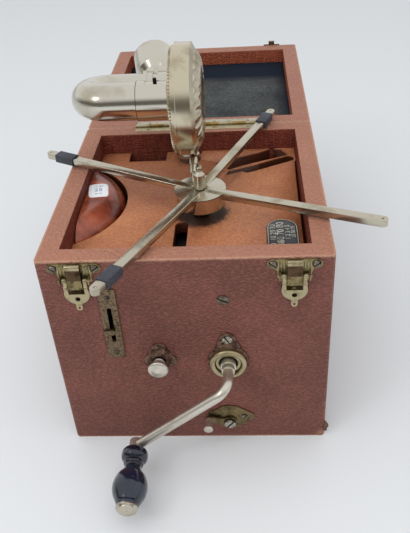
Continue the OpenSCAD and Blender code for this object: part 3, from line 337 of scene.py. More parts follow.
@dataclass(frozen=True)
class Metal(Finish):
    """Plated or bare metal: a clean colour, a tarnished one in soft patches, and fine wiping scratches."""

    name: str
    clean: str
    dull: str
    rough: float
    dull_share: float = 0.4
    patch_mm: float = 22.0
    bite: float = 0.012
    metallic: float = 1.0
    pits: float = 0.0
    pit_colour: str = "#2a1f18"

    def dress(self, g: Graph, place: Socket) -> Inputs:
        """Clouds mix the two colours and roughen the surface; corrosion pits are dark, rough and sunken."""
        cloud = g.noise(place, self.patch_mm, 7.0, 0.55)
        share = g.spread(cloud, 0.75 - self.dull_share * 0.6, 0.98 - self.dull_share * 0.6)
        colour = g.tint(share, self.clean, self.dull)
        rough = g.spread(share, 0.0, 1.0, (self.rough, min(1.0, self.rough * 1.5)))
        height = g.noise(g.scaled(place, (1.0, 0.2, 1.0)), 0.5, 2.0)
        strength, depth = self.bite, 0.4
        if self.pits > 0:
            spots = g.sum_of(cloud, 0.35, g.noise(place, 1.5, 5.0, 0.75))
            pitted = g.spread(spots, 0.80 - 0.12 * self.pits, 0.90 - 0.12 * self.pits, (0.0, 0.85))
            colour = g.tint(pitted, colour, self.pit_colour)
            rough = g.sum_of(pitted, 0.3, rough)
            height = g.sum_of(pitted, -1.0, g.sum_of(height, 0.1, 0.0))
            strength, depth = 0.35, 0.25
        return {"Base Color": colour, "Roughness": rough, "Normal": g.relief(height, strength, depth),
                "Metallic": self.metallic}


@dataclass(frozen=True)
class HingeMetal(Finish):
    """Nickel-plated leaves whose knuckles have worn through to the brass."""

    name: str
    plate: str
    plate_dull: str
    brass: str
    brass_dull: str
    pin_y: float
    pin_z: float
    knuckle: float

    def dress(self, g: Graph, place: Socket) -> Inputs:
        """A mask by the distance from the pin shows the brass on the knuckles only."""
        away = g.from_line(place, (0.0, self.pin_y, self.pin_z), 0)
        on = g.spread(away, (self.knuckle + 0.35) * MM, (self.knuckle + 0.1) * MM)
        cloud = g.noise(place, 5.0, 6.0)
        plate = g.tint(g.spread(cloud, 0.45, 0.75), self.plate, self.plate_dull)
        brass = g.tint(g.spread(cloud, 0.4, 0.7), self.brass, self.brass_dull)
        return {"Base Color": g.tint(on, plate, brass), "Metallic": 1.0,
                "Roughness": g.spread(cloud, 0.3, 0.7, (0.24, 0.42))}


@dataclass(frozen=True)
class Board(Finish):
    """Smooth-rubbed book cloth on the motor board, paler than the case, with oil and grime under the hub."""

    name: str
    deep: str
    light: str
    oil: str
    # Cut wood in the pockets, dark enough to paint the shade in them as well.
    cut: str
    hub_x: float
    hub_y: float
    face_z: float = 129.6
    wet_mm: tuple[float, float] = (12.0, 24.0)

    def dress(self, g: Graph, place: Socket) -> Inputs:
        """Fine cells for the grain, a ring of blots round the hub for the oil; cut edges and pocket floors
        darker, as bare wood and painted shade.
        """
        grain = g.grain(g.scaled(place, (0.6, 1.1, 1.0)), 0.6)
        broad = g.noise(place, 46.0, 7.0, 0.62)
        dye = g.tint(g.sum_of(grain, 0.5, g.sum_of(broad, 1.3, -0.4)), self.deep, self.light)
        away = g.from_line(place, (self.hub_x, self.hub_y, 0.0), 2)
        near = g.spread(away, self.wet_mm[0] * MM, self.wet_mm[1] * MM, (0.42, -0.3))
        wet = g.sum_of(near, 1.0, g.noise(place, 2.6, 7.0, 0.75))
        oiled = g.tint(g.spread(wet, 0.52, 0.74, (0.0, 0.93)), dye, self.oil)
        # Below the board's face, on cut edges and the pockets' walls and floors: bare wood, painted darker as
        # shade.
        edge = g.spread(g.split(place)[2], (self.face_z - 0.6) * MM, self.face_z * MM, (1.0, 0.0))
        return {"Base Color": g.tint(edge, oiled, self.cut), "Normal": g.relief(grain, 0.6, 0.25),
                "Roughness": g.spread(broad, 0.3, 0.7, (0.42, 0.6))}


@dataclass(frozen=True)
class Moulding(Finish):
    """Thermoset moulding or lacquer: glossy, with flowing clouds of a second colour and fine scratches."""

    name: str
    base: str
    cloud: str
    rough: float
    flow_mm: float = 18.0
    coat: float = 0.3
    chips: float = 0.0
    chip_colour: str = "#6d7686"

    def dress(self, g: Graph, place: Socket) -> Inputs:
        """Noise bent by itself gives the flow lines."""
        flow = g.pushed(place, 0.6 / (self.flow_mm * MM), self.flow_mm * MM * 1.5)
        colour = g.tint(g.spread(g.noise(flow, self.flow_mm, 6.0, 0.55), 0.42, 0.66), self.base, self.cloud)
        scuff = g.noise(place, 2.4, 5.0, 0.7)
        if self.chips > 0:
            chipped = g.spread(scuff, 0.78 - self.chips * 0.1, 0.8 - self.chips * 0.1, (0.0, 0.6))
            colour = g.tint(chipped, colour, self.chip_colour)
        return {"Base Color": colour,
                "Roughness": g.spread(scuff, 0.4, 0.75, (self.rough, self.rough + 0.16)),
                "Normal": g.relief(scuff, 0.05, 0.2), "Coat Weight": self.coat,
                "Coat Roughness": self.rough * 0.6}


@dataclass(frozen=True)
class Matt(Finish):
    """Felt, rubber, paper, leather or bare wood: dull, with fibres or streaks and some dust."""

    name: str
    base: str
    fleck: str
    rough: float
    fibre_mm: float = 0.8
    stretch: Point = (1.0, 1.0, 1.0)
    depth: float = 0.3
    sheen: float = 0.0
    dust: float = 0.5
    dust_mm: float = 36.0

    def dress(self, g: Graph, place: Socket) -> Inputs:
        """Stretched noise for the fibres, and broad noise for the dust that lies on them."""
        fibre = g.noise(g.scaled(place, self.stretch), self.fibre_mm, 6.0, 0.7)
        both = g.sum_of(g.noise(place, self.dust_mm, 5.0), self.dust, fibre)
        share = g.spread(both, 0.45 + self.dust * 0.4, 0.8 + self.dust * 0.45)
        return {"Base Color": g.tint(share, self.base, self.fleck), "Roughness": self.rough,
                "Normal": g.relief(fibre, self.depth, 0.2), "Sheen Weight": self.sheen}


@dataclass(frozen=True)
class PressedFelt(Matt):
    """Felt with a dusty, worn middle, painted lighter there as sheen too, that has kept its dark colour along
    the back and right edges.
    """

    back_y: float = 204.0
    right_x: float = 65.5
    blur: float = 7.0
    # The felt's own colour past the lines, with neither dust nor painted sheen.
    clean: str = "#1c222c"

    def dress(self, g: Graph, place: Socket) -> Inputs:
        """The dusty felt, with its painted sheen, in front of one line and left of the other, and the clean
        colour past them.
        """
        worn = super().dress(g, place)
        # Lighter in front of the back line and left of the right one: dust, and a painted sheen.
        inside = reduce(g.product, [g.spread(value, (line + self.blur) * MM, (line - self.blur) * MM)
                                    for value, line in zip(g.split(place), (self.right_x, self.back_y))])
        return worn | {"Base Color": g.tint(inside, self.clean, worn["Base Color"]),
                       "Specular IOR Level": g.spread(inside, 0.0, 1.0, (0.05, 0.5)),
                       "Sheen Weight": g.spread(inside, 0.0, 1.0, (0.0, self.sheen))}


CASE_CLOTH = Leathercloth("case_leathercloth", "#5f352c", "#8a5145", "#a5715a", "#b48a72", "#7d331b",
                          "#541a0e", -85.0, 85.0, 0.0, torn="#93664f")
LID_CLOTH = Leathercloth("lid_leathercloth", "#5f352c", "#8a5145", "#a06e5a", "#b08870", "#8f421f",
                         "#6a2c15", 85.4, 255.4, 125.0)
BOARD_CLOTH = Board("board_leathercloth", "#8f5033", "#cb8b5e", "#1b110d", "#45200f", 6.4, -14.0)
NICKEL = Metal("nickel_plate", "#cfcabd", "#b5ac99", 0.16, 0.35)
BOX_NICKEL = Metal("yellowed_nickel", "#cdc3ab", "#a2957a", 0.2, 0.45, 16.0)
ARM_NICKEL = Metal("rubbed_nickel", "#c4bdac", "#a1967f", 0.24, 0.4, 14.0)
ROD_NICKEL = Metal("crank_nickel", "#d6cfc2", "#aea392", 0.3, 0.35, 16.0, metallic=0.92)
OLD_NICKEL = Metal("tarnished_nickel", "#84786a", "#4a3e35", 0.32, 0.5, 2.5, pits=0.3)
BRASS = Metal("worn_brass", "#94865f", "#66583a", 0.34, 0.5, 4.0, pits=0.4)
OLIVE = Metal("olive_brass", "#847454", "#584b32", 0.36, 0.5, 4.0, pits=0.3)
BRONZE = Metal("dark_bronze", "#82705a", "#5f4e3a", 0.4, 0.5, 2.0, pits=0.3, pit_colour="#3f3024")
RUST = Metal("rusty_bronze", "#7d604f", "#513d34", 0.5, 0.6, 3.0, metallic=0.7, pits=0.8)
STEEL = Metal("oiled_steel", "#8b8c8e", "#4a4744", 0.35, 0.5, 8.0)
OILED_IRON = Metal("oiled_iron", "#2b2826", "#161311", 0.4, 0.5, 3.0)
BRIGHT_STEEL = Metal("slotted_steel", "#b9b2a4", "#776d5f", 0.25, 0.4, 2.0)
DARK_PRESSING = Metal("stained_pressing", "#5c4936", "#2f241b", 0.24, 0.5, 5.0)
PALE_PRESSING = Metal("pale_pressing", "#b3a684", "#8a7d5f", 0.3, 0.4, 4.0)
THIN_SHEET = Metal("thin_sheet", "#c4c4c4", "#8e8a82", 0.3)
SILVERED = Metal("silvered_figures", "#dcd8ce", "#a9a18c", 0.35, 0.5, 3.0)
HINGE = HingeMetal("hinge_plate", "#bdb5a3", "#8f836a", "#a98b4e", "#6b5730", 85.2, 145.1, 1.7)
LACQUER = Moulding("black_lacquer", "#070e1e", "#101d33", 0.08, 12.0, 0.6, chips=0.8)
BAKELITE = Moulding("clouded_bakelite", "#591a0d", "#ab5638", 0.24, 26.0, 0.35)
ENAMEL = Moulding("plate_enamel", "#1c1d20", "#2c2d31", 0.3, 6.0, 0.2)
FELT = PressedFelt("dark_felt", "#0b0e12", "#525856", 0.95, 1.3, depth=0.8, sheen=0.08, dust=0.6)
RUBBER = Matt("grey_rubber", "#2a2b33", "#474852", 0.6, 1.2, depth=0.15)
WOOD = Matt("stained_wood", "#3b2114", "#5d3721", 0.7, 1.1, (1.0, 0.08, 1.0))
PAPER = Matt("white_paper", "#eceef0", "#dfe3e8", 0.6, 0.3, depth=0.1, dust=0.3)
INK = Matt("blue_ink", "#3f6a9a", "#56789f", 0.6, 0.3, depth=0.0)
STRAP = Matt("strap_hide", "#3d1f14", "#6b3a25", 0.55, 0.9, depth=0.35)
THREAD = Matt("waxed_thread", "#b79c72", "#d4bd94", 0.7, 0.4, depth=0.2)
# Near black: grime, and the painted shade in screw slots and round the heads.
GRIME_AND_SHADE = Matt("screw_grime_and_shade", "#0d0a08", "#1c1510", 0.8, 0.5, depth=0.1)
FRAYED = Matt("frayed_cloth", "#24150f", "#7d5b48", 0.85, 0.7, depth=0.5)


class Side(Enum):
    """How the normals of an open surface are settled."""

    CLOSED = "recalculated outwards"
    KEPT = "as the grid gives them"
    FLIPPED = "the other way round"


@contextmanager
def editing(mesh: bpy.types.Mesh, target: bpy.types.Mesh | None = None) -> Iterator[bmesh.types.BMesh]:
    """Lends a mesh for editing, and writes the result back to it, or to another mesh."""
    work = bmesh.new()
    work.from_mesh(mesh)
    yield work
    work.to_mesh(mesh if target is None else target)
    work.free()


def mesh_of(name: str, shells: list[np.ndarray], side: Side = Side.CLOSED, round_rows: bool = True,
            ends: bool = True, ring: bool = False) -> bpy.types.Mesh:
    """Makes one mesh of one or more grids of points, each an array of rows by columns by 3, in millimetres.

    Each quad joins point (i, j) to (i, j+1), (i+1, j+1) and (i+1, j).

    Args:
        name: the mesh's name.
        shells: the grids.
        side: how the normals are settled.
        round_rows: the last column joins the first one.
        ends: the first and last rows are each closed by one face.
        ring: the last row joins the first one, and there are no ends.

    Returns:
        The mesh, in metres.
    """
    work = bmesh.new()
    for points in shells:
        rows, columns, _ = points.shape
        i = np.arange(rows if ring else rows - 1)[:, None]
        j = np.arange(columns if round_rows else columns - 1)[None, :]
        i_next, j_next = (i + 1) % rows, (j + 1) % columns
        corners = [i * columns + j, i * columns + j_next, i_next * columns + j_next, i_next * columns + j]
        faces = np.stack([c.ravel() for c in corners], 1).tolist()
        if ends and round_rows and not ring:
            faces += [list(range(columns))[::-1], list(range((rows - 1) * columns, rows * columns))]
        part = bpy.data.meshes.new("part")
        part.from_pydata((points.reshape(-1, 3) * MM).tolist(), [], faces)
        work.from_mesh(part)
        bpy.data.meshes.remove(part)
    bmesh.ops.remove_doubles(work, verts=work.verts, dist=1e-6)
    if side is Side.CLOSED:
        bmesh.ops.recalc_face_normals(work, faces=work.faces)
    elif side is Side.FLIPPED:
        bmesh.ops.reverse_faces(work, faces=work.faces)
    mesh = bpy.data.meshes.new(name)
    work.to_mesh(mesh)
    work.free()
    return mesh


def joined(name: str, parts: list[bpy.types.Mesh]) -> bpy.types.Mesh:
    """Puts several meshes into one and removes them."""
    work = bmesh.new()
    for part in parts:
        work.from_mesh(part)
        bpy.data.meshes.remove(part)
    mesh = bpy.data.meshes.new(name)
    work.to_mesh(mesh)
    work.free()
    return mesh


def turned(profile: np.ndarray, origin: tuple, axis: tuple, steps: int = 64) -> np.ndarray:
    """Turns a profile about an axis.

    A point at distance s along the axis and radius r goes to origin + s*axis + r*(cos t*u + sin t*w),
    where u and w are square to the axis and t runs once round.

    Args:
        profile: rows of (s, r), in millimetres.
        origin: where s is 0.
        axis: a unit vector.
        steps: facets once round.

    Returns:
        The grid, profile points by steps by 3.
    """
    along = np.array(axis, float)
    side = np.cross(along, (0.0, 0.0, 1.0) if abs(along[2]) < 0.9 else (1.0, 0.0, 0.0))
    side /= np.linalg.norm(side)
    other = np.cross(along, side)
    t = np.linspace(0, 2 * math.pi, steps, endpoint=False)
    around = np.cos(t)[:, None] * side + np.sin(t)[:, None] * other
    return np.array(origin) + profile[:, :1, None] * along + profile[:, 1:2, None] * around[None]


def smooth_profile(knots: tuple, count: int) -> np.ndarray:
    """Runs a Catmull-Rom curve through the knots, with the same number of points between each pair.

    Args:
        knots: points of (s, r).
        count: points in all, roughly.

    Returns:
        Rows of (s, r).
    """
    k = np.array([knots[0], *knots, knots[-1]], float)
    t = np.linspace(0, 1, max(2, count // (len(knots) - 1)), endpoint=False)[:, None]
    rows = []
    for a, b, c, d in zip(k[:-3], k[1:-2], k[2:-1], k[3:]):
        bend, twist = 2 * a - 5 * b + 4 * c - d, 3 * b - a - 3 * c + d
        rows.append(0.5 * (2 * b + (c - a) * t + bend * t ** 2 + twist * t ** 3))
    rows.append(k[-1:])
    return np.vstack(rows)


def squared(wave: np.ndarray, power: float) -> np.ndarray:
    """A wave whose size is raised to a power while its sign is kept, which squares off an ellipse."""
    return np.sign(wave) * np.abs(wave) ** power


def block(low: Point, high: Point) -> np.ndarray:
    """The grid of an upright box between two corners."""
    plan = ((low[0], low[1]), (high[0], low[1]), (high[0], high[1]), (low[0], high[1]))
    return np.array([[(x, y, z) for x, y in plan] for z in (low[2], high[2])])


def box_mm(node: str) -> tuple[np.ndarray, np.ndarray]:
    """A node's lowest and highest corners, in millimetres."""
    low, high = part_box(node)
    return np.array(low) / MM, np.array(high) / MM


def place_object(name: str, data: bpy.types.ID) -> bpy.types.Object:
    """Puts a mesh, text, camera or lamp in the scene."""
    made = bpy.data.objects.new(name, data)
    bpy.context.scene.collection.objects.link(made)
    return made


def shade(mesh: bpy.types.Mesh, sharp: float = 38.0) -> None:
    """Shades a mesh smooth, but keeps edges sharp that bend by more than some degrees."""
    mesh.shade_smooth()
    mesh.set_sharp_from_angle(angle=math.radians(sharp))


def baked(piece: bpy.types.Object) -> bpy.types.Mesh:
    """A new mesh of an object as its modifiers or its text leave it."""
    return bpy.data.meshes.new_from_object(piece.evaluated_get(bpy.context.evaluated_depsgraph_get()))


def publish(mesh: bpy.types.Mesh, finish: Finish, body: str, replaced: tuple[str, ...] = (),
            sharp: float = 38.0, rub: Finish | None = None) -> bpy.types.Object:
    """Puts a mesh in the scene as a piece of the object.

    Args:
        mesh: its mesh, in place.
        finish: what it is made of.
        body: the body that it rides on.
        replaced: nodes that it stands for.
        sharp: edges that bend by more than this, in degrees, stay sharp.
        rub: what its faces with material index 1 show.

    Returns:
        The piece.
    """
    shade(mesh, sharp)
    mesh.materials.clear()
    for coat in (finish, rub) if rub else (finish,):
        mesh.materials.append(coat.make())
    piece = place_object(mesh.name, mesh)
    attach(piece, body)
    if replaced:
        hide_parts(*replaced)
    log.info("%s on %s, %d faces", mesh.name, body, len(mesh.polygons))
    return piece


def eased(node: str, width_mm: float, finish: Finish, segments: int = 2,
          rub: Finish | None = None) -> bpy.types.Object:
    """Stands in for a node with a copy of its mesh whose sharp edges are rounded over.

    Args:
        node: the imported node's name.
        width_mm: how far the rounding reaches in from each edge.
        finish: what it is made of.
        segments: facets across the rounding.
        rub: what the rounding itself shows, where handling has rubbed the edges.

    Returns:
        The new piece, riding on the node's body.
    """
    source = frame["nodes"][node]
    mesh = bpy.data.meshes.new(f"{node}_finished")
    with editing(source.data, mesh) as work:
        bmesh.ops.remove_doubles(work, verts=work.verts, dist=WELD_M)
        bmesh.ops.dissolve_limit(work, angle_limit=FLAT_BEND, verts=work.verts, edges=work.edges)
        bends = [e for e in work.edges if len(e.link_faces) == 2 and e.calc_face_angle(0.0) > SHARP_BEND]
        bmesh.ops.bevel(work, geom=bends, offset=width_mm * MM, segments=segments, profile=0.5,
                        affect="EDGES", clamp_overlap=True, material=1 if rub else -1)
        bmesh.ops.triangulate(work, faces=[f for f in work.faces if len(f.verts) > 4])
    return publish(mesh, finish, source["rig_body"], (node,), rub=rub)


def dress_nodes(finish: Finish, *nodes: str) -> None:
    """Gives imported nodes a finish."""
    for node in nodes:
        mesh = frame["nodes"][node].data
        mesh.materials.clear()
        mesh.materials.append(finish.make())
        log.info("%s dressed in %s", node, finish.name)


def repaint(piece: bpy.types.Object, finish: Finish, chosen: np.ndarray) -> None:
    """Gives some of a piece's faces a finish of their own.

    Args:
        piece: the piece.
        finish: the other finish.
        chosen: true for each face that takes it.
    """
    mesh = piece.data
    mesh.materials.append(finish.make())
    kept = np.empty(len(mesh.polygons), np.int32)
    mesh.polygons.foreach_get("material_index", kept)
    indices = np.where(chosen, len(mesh.materials) - 1, kept).astype(np.int32)
    mesh.polygons.foreach_set("material_index", indices)


def paint_part(piece: bpy.types.Object, finish: Finish, low: Point, high: Point) -> None:
    """Gives the faces whose middles lie in a box, in millimetres, a finish of their own."""
    middles = np.empty(len(piece.data.polygons) * 3)
    piece.data.polygons.foreach_get("center", middles)
    middles = middles.reshape(-1, 3) / MM
    repaint(piece, finish, np.all((middles >= low) & (middles <= high), axis=1))


def shade_and_grime_slots(piece: bpy.types.Object, share: float = 0.42, reach_mm: float = 0.6) -> None:
    """Darkens the slots and the lower sides of screws that face the front, as grime and painted shade.

    Args:
        piece: a piece of one or more separate heads.
        share: how far back the dark part starts, as a share of each head's depth.
        reach_mm: how far back it starts at the most.
    """
    work = bmesh.new()
    work.from_mesh(piece.data)
    dark = np.zeros(len(work.faces), bool)
    left = set(work.faces)
    while left:
        head, edge = set(), [left.pop()]
        while edge:
            face = edge.pop()
            head.add(face)
            near = {other for line in face.edges for other in line.link_faces} & left
            left -= near
            edge.extend(near)
        depths = [vert.co.y for face in head for vert in face.verts]
        front, back = min(depths), max(depths)
        start = front + min(share * (back - front), reach_mm * MM)
        for face in head:
            dark[face.index] = face.calc_center_median().y > start
    work.free()
    # The deep faces take grime and painted shade.
    repaint(piece, GRIME_AND_SHADE, dark)


def carve(piece: bpy.types.Object, outlines: tuple, low_z: float, high_z: float) -> None:
    """Cuts pockets with upright walls into a piece.

    Args:
        piece: the piece.
        outlines: the pockets' corners in plan, in millimetres.
        low_z: the height of their floors.
        high_z: a height above the piece's face.
    """
    cutters = []
    for points in outlines:
        rows = np.array([[(x, y, z) for x, y in points] for z in (low_z, high_z)])
        cutters.append(place_object("cutter", mesh_of("cutter", [rows])))
        cut = piece.modifiers.new("cut", "BOOLEAN")
        cut.operation, cut.solver, cut.object = "DIFFERENCE", "EXACT", cutters[-1]
    bpy.context.view_layer.update()
    mesh = baked(piece)
    piece.modifiers.clear()
    mesh.name = piece.name
    shade(mesh)
    piece.data = mesh
    for cutter in cutters:
        bpy.data.objects.remove(cutter)


def thicken(piece: bpy.types.Object, width_mm: float, offset: int) -> None:
    """Gives a sheet its thickness: below its face at offset -1, and to both sides at 0."""
    skin = piece.modifiers.new("thickness", "SOLIDIFY")
    skin.thickness = width_mm * MM
    skin.offset = offset


def numerals(text: str, height: float, at: Point, right: Point, up: Point,
             depth: float = 0.12) -> bpy.types.Mesh:
    """Plain raised numbers as a mesh.

    Args:
        text: the numbers.
        height: how tall they stand, in millimetres.
        at: their middle.
        right: the direction in which they are read.
        up: the direction of their tops.
        depth: how far they stand out.

    Returns:
        The mesh, in place, in metres.
    """
    curve = bpy.data.curves.new("numerals", "FONT")
    curve.body = text
    curve.size = height / CAPITAL_SHARE * MM
    curve.extrude = depth * MM
    curve.align_x, curve.align_y = "CENTER", "CENTER"
    curve.resolution_u = 3
    holder = place_object("numerals", curve)
    mesh = baked(holder)
    bpy.data.objects.remove(holder)
    x, y = Vector(right).normalized(), Vector(up).normalized()
    turn = Matrix((x, y, x.cross(y))).transposed().to_4x4()
    mesh.transform(Matrix.Translation(Vector(at) * MM) @ turn)
    return mesh


@dataclass
class Carcass:
    """The case, its lid, the motor board and the linings."""

    corner: tuple[float, float] = (82.5, -85.0)
    flap_low: float = 4.6
    flap_high: float = 11.8
    flap_out: float = 3.0
    flap_curl: float = 1.1
    flap_lean: float = 2.4
    flap_droop: float = 1.2
    flap_thick: float = 0.5
    flap_inset: tuple[float, float] = (0.5, 0.15)
    felt_gap: float = 0.15
    felt_sink: float = 0.25
    felt_wave: float = 0.16
    felt_thick: float = 0.8
    recess_z: float = 122.4
    above_board: float = 135.0
    recesses: tuple = (
        ((13.0, 54.2), (16.5, 46.0), (21.8, 43.2), (66.0, 62.2), (60.0, 72.2), (55.6, 72.2)),
        ((20.5, 34.0), (22.6, 41.0), (66.5, 60.3), (67.5, 56.3), (39.9, 42.8)),
        ((69.3, 53.0), (68.6, 20.0), (68.0, -47.0), (67.8, -74.0), (72.0, -74.0), (72.0, 53.0)))

    def build(self) -> None:
        """Dresses the wooden parts and adds the felt and the torn corner."""
        eased("case", 0.9, CASE_CLOTH, 3)
        eased("lid", 0.9, LID_CLOTH, 3)
        carve(eased("motor_board", 0.35, BOARD_CLOTH), self.recesses, self.recess_z, self.above_board)
        dress_nodes(WOOD, "board_battens", "resonator_pocket", "rear_well")
        self.line_lid()
        self.tear_corner()

    def line_lid(self) -> None:
        """The felt: a level grid over the lid's floor that waves by a fraction of a millimetre."""
        low, high = box_mm("lid_felt")
        low, high = low + self.felt_gap, high - (self.felt_gap, self.felt_gap, self.felt_sink)
        x, y = np.meshgrid(np.linspace(low[0], high[0], 71), np.linspace(low[1], high[1], 73))
        wave = np.sin(x / 9.1 + np.sin(y / 17.0)) * np.sin(y / 11.3 + 0.7)
        mesh = mesh_of("lid_felt_lining", [np.dstack([x, y, high[2] + self.felt_wave * wave])], Side.KEPT,
                       round_rows=False)
        piece = publish(mesh, FELT, "lid_body", ("lid_felt",), 80)
        thicken(piece, self.felt_thick, -1)

    def tear_corner(self) -> None:
        """The loose flap of cloth: a strip up the corner whose outer edge bends away as a sine along it."""
        up, out = np.meshgrid(np.linspace(0, 1, 19), np.linspace(0, 1, 12), indexing="ij")
        swell = np.sin(math.pi * up) ** 0.6 * (0.8 + 0.2 * np.sin(9 * up + 1))
        curl = self.flap_curl * swell * np.sin(math.pi * out * 0.9)
        x = self.corner[0] - self.flap_inset[0] + self.flap_out * swell * out
        y = self.corner[1] - self.flap_inset[1] - curl + self.flap_lean * out * (1 - swell)
        z = self.flap_low + (self.flap_high - self.flap_low) * up - self.flap_droop * out * np.sin(5 * up)
        mesh = mesh_of("torn_cloth_flap", [np.dstack([x, y, z])], Side.FLIPPED, round_rows=False)
        thicken(publish(mesh, FRAYED, "case", sharp=80), self.flap_thick, 0)


@dataclass
class Strap:
    """The carrying strap under the open lid: a bowed leather band, looped round two wires and stitched."""

    half_len: float = 50.6
    wire_x: float = 53.5
    wire_drop: float = 5.4
    wire_r: float = 1.2
    loop_r: float = 2.6
    loop_half: float = 9.4
    width: float = 19.0
    thick: float = 3.1
    low_drop: float = 7.3
    high_drop: float = 3.7
    grip_half: float = 26.0
    bend_len: float = 14.0
    pitch: float = 3.6
    bead_inset: tuple[float, float] = (3.0, 2.0)
    bead_row: float = 0.4
    bead_sink: float = 0.1
    bead: tuple = ((-1.25, 0.02), (-1.0, 0.34), (0, 0.42), (1.0, 0.34), (1.25, 0.02))

    def centre(self, x: np.ndarray) -> np.ndarray:
        """Depth of the band's middle below the lid: a smooth step from the ends down to the hand grip."""
        t = np.clip((np.abs(x) - self.grip_half) / self.bend_len, 0, 1)
        return self.low_drop + (self.high_drop - self.low_drop) * t * t * (3 - 2 * t)

    def build(self) -> None:
        """Makes the band with its two end loops, and the stitches."""
        low, high = box_mm("carry_strap")
        face_z, mid_y = box_mm("lid")[0][2], (low[1] + high[1]) / 2
        t = np.linspace(0, 2 * math.pi, 28, endpoint=False)
        x = np.linspace(-self.half_len, self.half_len, 121)
        band = np.empty((x.size, t.size, 3))
        band[..., 0] = x[:, None]
        band[..., 1] = mid_y + self.width / 2 * squared(np.cos(t), 0.3)
        band[..., 2] = face_z - self.centre(x)[:, None] + self.thick / 2 * squared(np.sin(t), 0.5)
        side = [(self.loop_half, self.wire_r), (self.loop_half, self.loop_r - 0.3),
                (self.loop_half - 0.3, self.loop_r)]
        ring = np.array([(-s, r) for s, r in side] + side[::-1])
        loops = [turned(ring, (s * self.wire_x, mid_y, face_z - self.wire_drop), (0, 1, 0), 28)
                 for s in (-1, 1)]
        mesh = joined("stitched_strap", [mesh_of("band", [band]), mesh_of("loops", loops, ring=True)])
        publish(mesh, STRAP, "lid_body", ("carry_strap",), 50)
        dress_nodes(OLD_NICKEL, "strap_loops")
        self.stitch(mid_y, face_z)

    def stitch(self, mid_y: float, face_z: float) -> None:
        """Two rows of stitches along the outer face, each a short bead that follows the band's slope."""
        beads = []
        first, last = self.bead_inset
        for x in np.arange(-self.half_len + first, self.half_len - last, self.pitch):
            drop, after, before = self.centre(x + np.array([0.0, 0.5, -0.5]))
            along = np.array([1.0, 0.0, before - after]) / math.hypot(1.0, after - before)
            z = face_z - drop - self.thick / 2 + self.bead_sink
            for y in (mid_y - self.width * self.bead_row, mid_y + self.width * self.bead_row):
                beads.append(turned(np.array(self.bead), (x, y, z), tuple(along), 6))
        publish(mesh_of("strap_stitching", beads), THREAD, "lid_body")


@dataclass
class StoredResonator:
    """The loose moulded resonator in its pocket, and the small paper label with plain numbers on it."""

    centre: tuple[float, float] = (-99.0, 1.0)
    top: float = 137.0
    flat_r: float = 38.9
    round_r: float = 15.0
    label_at: tuple[float, float] = (-62.4, 6.0)
    label_half: tuple[float, float] = (6.4, 8.6)
    label_turn: float = 9.0
    label_faces: tuple[float, float] = (0.04, 0.2)
    ink_lift: float = 0.23
    ink_depth: float = 0.03
    marks: tuple[tuple[str, float, float], ...] = (
        ("10 20", 1.9, 5.2), ("25", 4.0, 0.6), ("30 40", 1.5, -4.6))

    def height(self, x: np.ndarray, y: np.ndarray) -> np.ndarray:
        """The top of the moulding: level near its middle, then a quarter round of the shoulder's radius."""
        away = np.hypot(x - self.centre[0], y - self.centre[1])
        over = np.clip(away - self.flat_r, 0, self.round_r)
        return self.top - self.round_r + np.sqrt(self.round_r ** 2 - over ** 2)

    def build(self) -> None:
        """Dresses the moulding and lays the label on it."""
        eased("resonator", 0.5, BAKELITE, 3)
        t, r = np.meshgrid(np.linspace(0, 2 * math.pi, 48, endpoint=False), np.linspace(0, 1, 9))
        u = self.label_half[0] * r * squared(np.cos(t), 0.35)
        v = self.label_half[1] * r * squared(np.sin(t), 0.35)
        angle = math.radians(self.label_turn)
        cos, sin = math.cos(angle), math.sin(angle)
        x = self.label_at[0] + u * cos - v * sin
        y = self.label_at[1] + u * sin + v * cos
        under, over = (np.dstack([x, y, self.height(x, y) + lift]) for lift in self.label_faces)
        shell = np.vstack([under, over[::-1]])
        publish(mesh_of("paper_label", [shell], ends=False), PAPER, "case", sharp=60)
        figures = []
        for text, size, up in self.marks:
            at = (self.label_at[0] - sin * up, self.label_at[1] + cos * up, self.ink_lift)
            figures.append(numerals(text, size, at, (cos, sin, 0.0), (-sin, cos, 0.0), self.ink_depth))
        ink = joined("label_numbers", figures)
        for vertex in ink.vertices:
            vertex.co.z += float(self.height(vertex.co.x / MM, vertex.co.y / MM)) * MM
        publish(ink, INK, "case", sharp=80)


@dataclass
class NumberPlate:
    """The black plate on the motor board: a plated border, and plain numbers in rows."""

    inset: float = 0.6
    strip: float = 0.35
    lift: float = 0.2
    sink: float = 0.05
    columns: tuple[float, float] = (5.0, 25.0)
    rows: tuple[tuple[str, float, float, float], ...] = (
        ("10 20 30", 3.4, -5.6, 0.0), ("60 70 80", 4.4, -1.2, 0.0), ("1 2 3 4 5", 3.0, 3.1, 0.0),
        ("25 50 75", 2.4, 6.4, 0.5))

    def build(self) -> None:
        """Makes the border along the plate's outline and sets the numbers, read from the right."""
        low, high = box_mm("number_plate")
        half = (high[0] - low[0]) / 2
        mid_x, arc_y, top = (low[0] + high[0]) / 2, high[1] - half, high[2]
        eased("number_plate", 0.2, ENAMEL)
        edges = []
        t = np.linspace(0, math.pi, 33)
        for inward in (self.inset, self.inset + self.strip):
            reach = half - inward
            arc = np.stack([mid_x + reach * np.cos(t), arc_y + reach * np.sin(t)], 1)
            foot = low[1] + inward
            edges.append(np.vstack([arc, [(mid_x - reach, foot), (mid_x + reach, foot)]]))
        walls = [np.column_stack([edges[k], np.full(len(edges[k]), top + rise)])
                 for k, rise in ((0, -self.sink), (0, self.lift), (1, self.lift), (1, -self.sink))]
        publish(mesh_of("number_plate_border", [np.stack(walls)], ring=True), ARM_NICKEL, "case")
        text = []
        for figures, size, off, shift in self.rows:
            for side, back in zip((shift, -shift), self.columns):
                at = (mid_x + off, arc_y - back + side, top)
                text.append(numerals(figures, size, at, (0, 1, 0), (-1, 0, 0)))
        publish(joined("plate_numbers", text), SILVERED, "case")


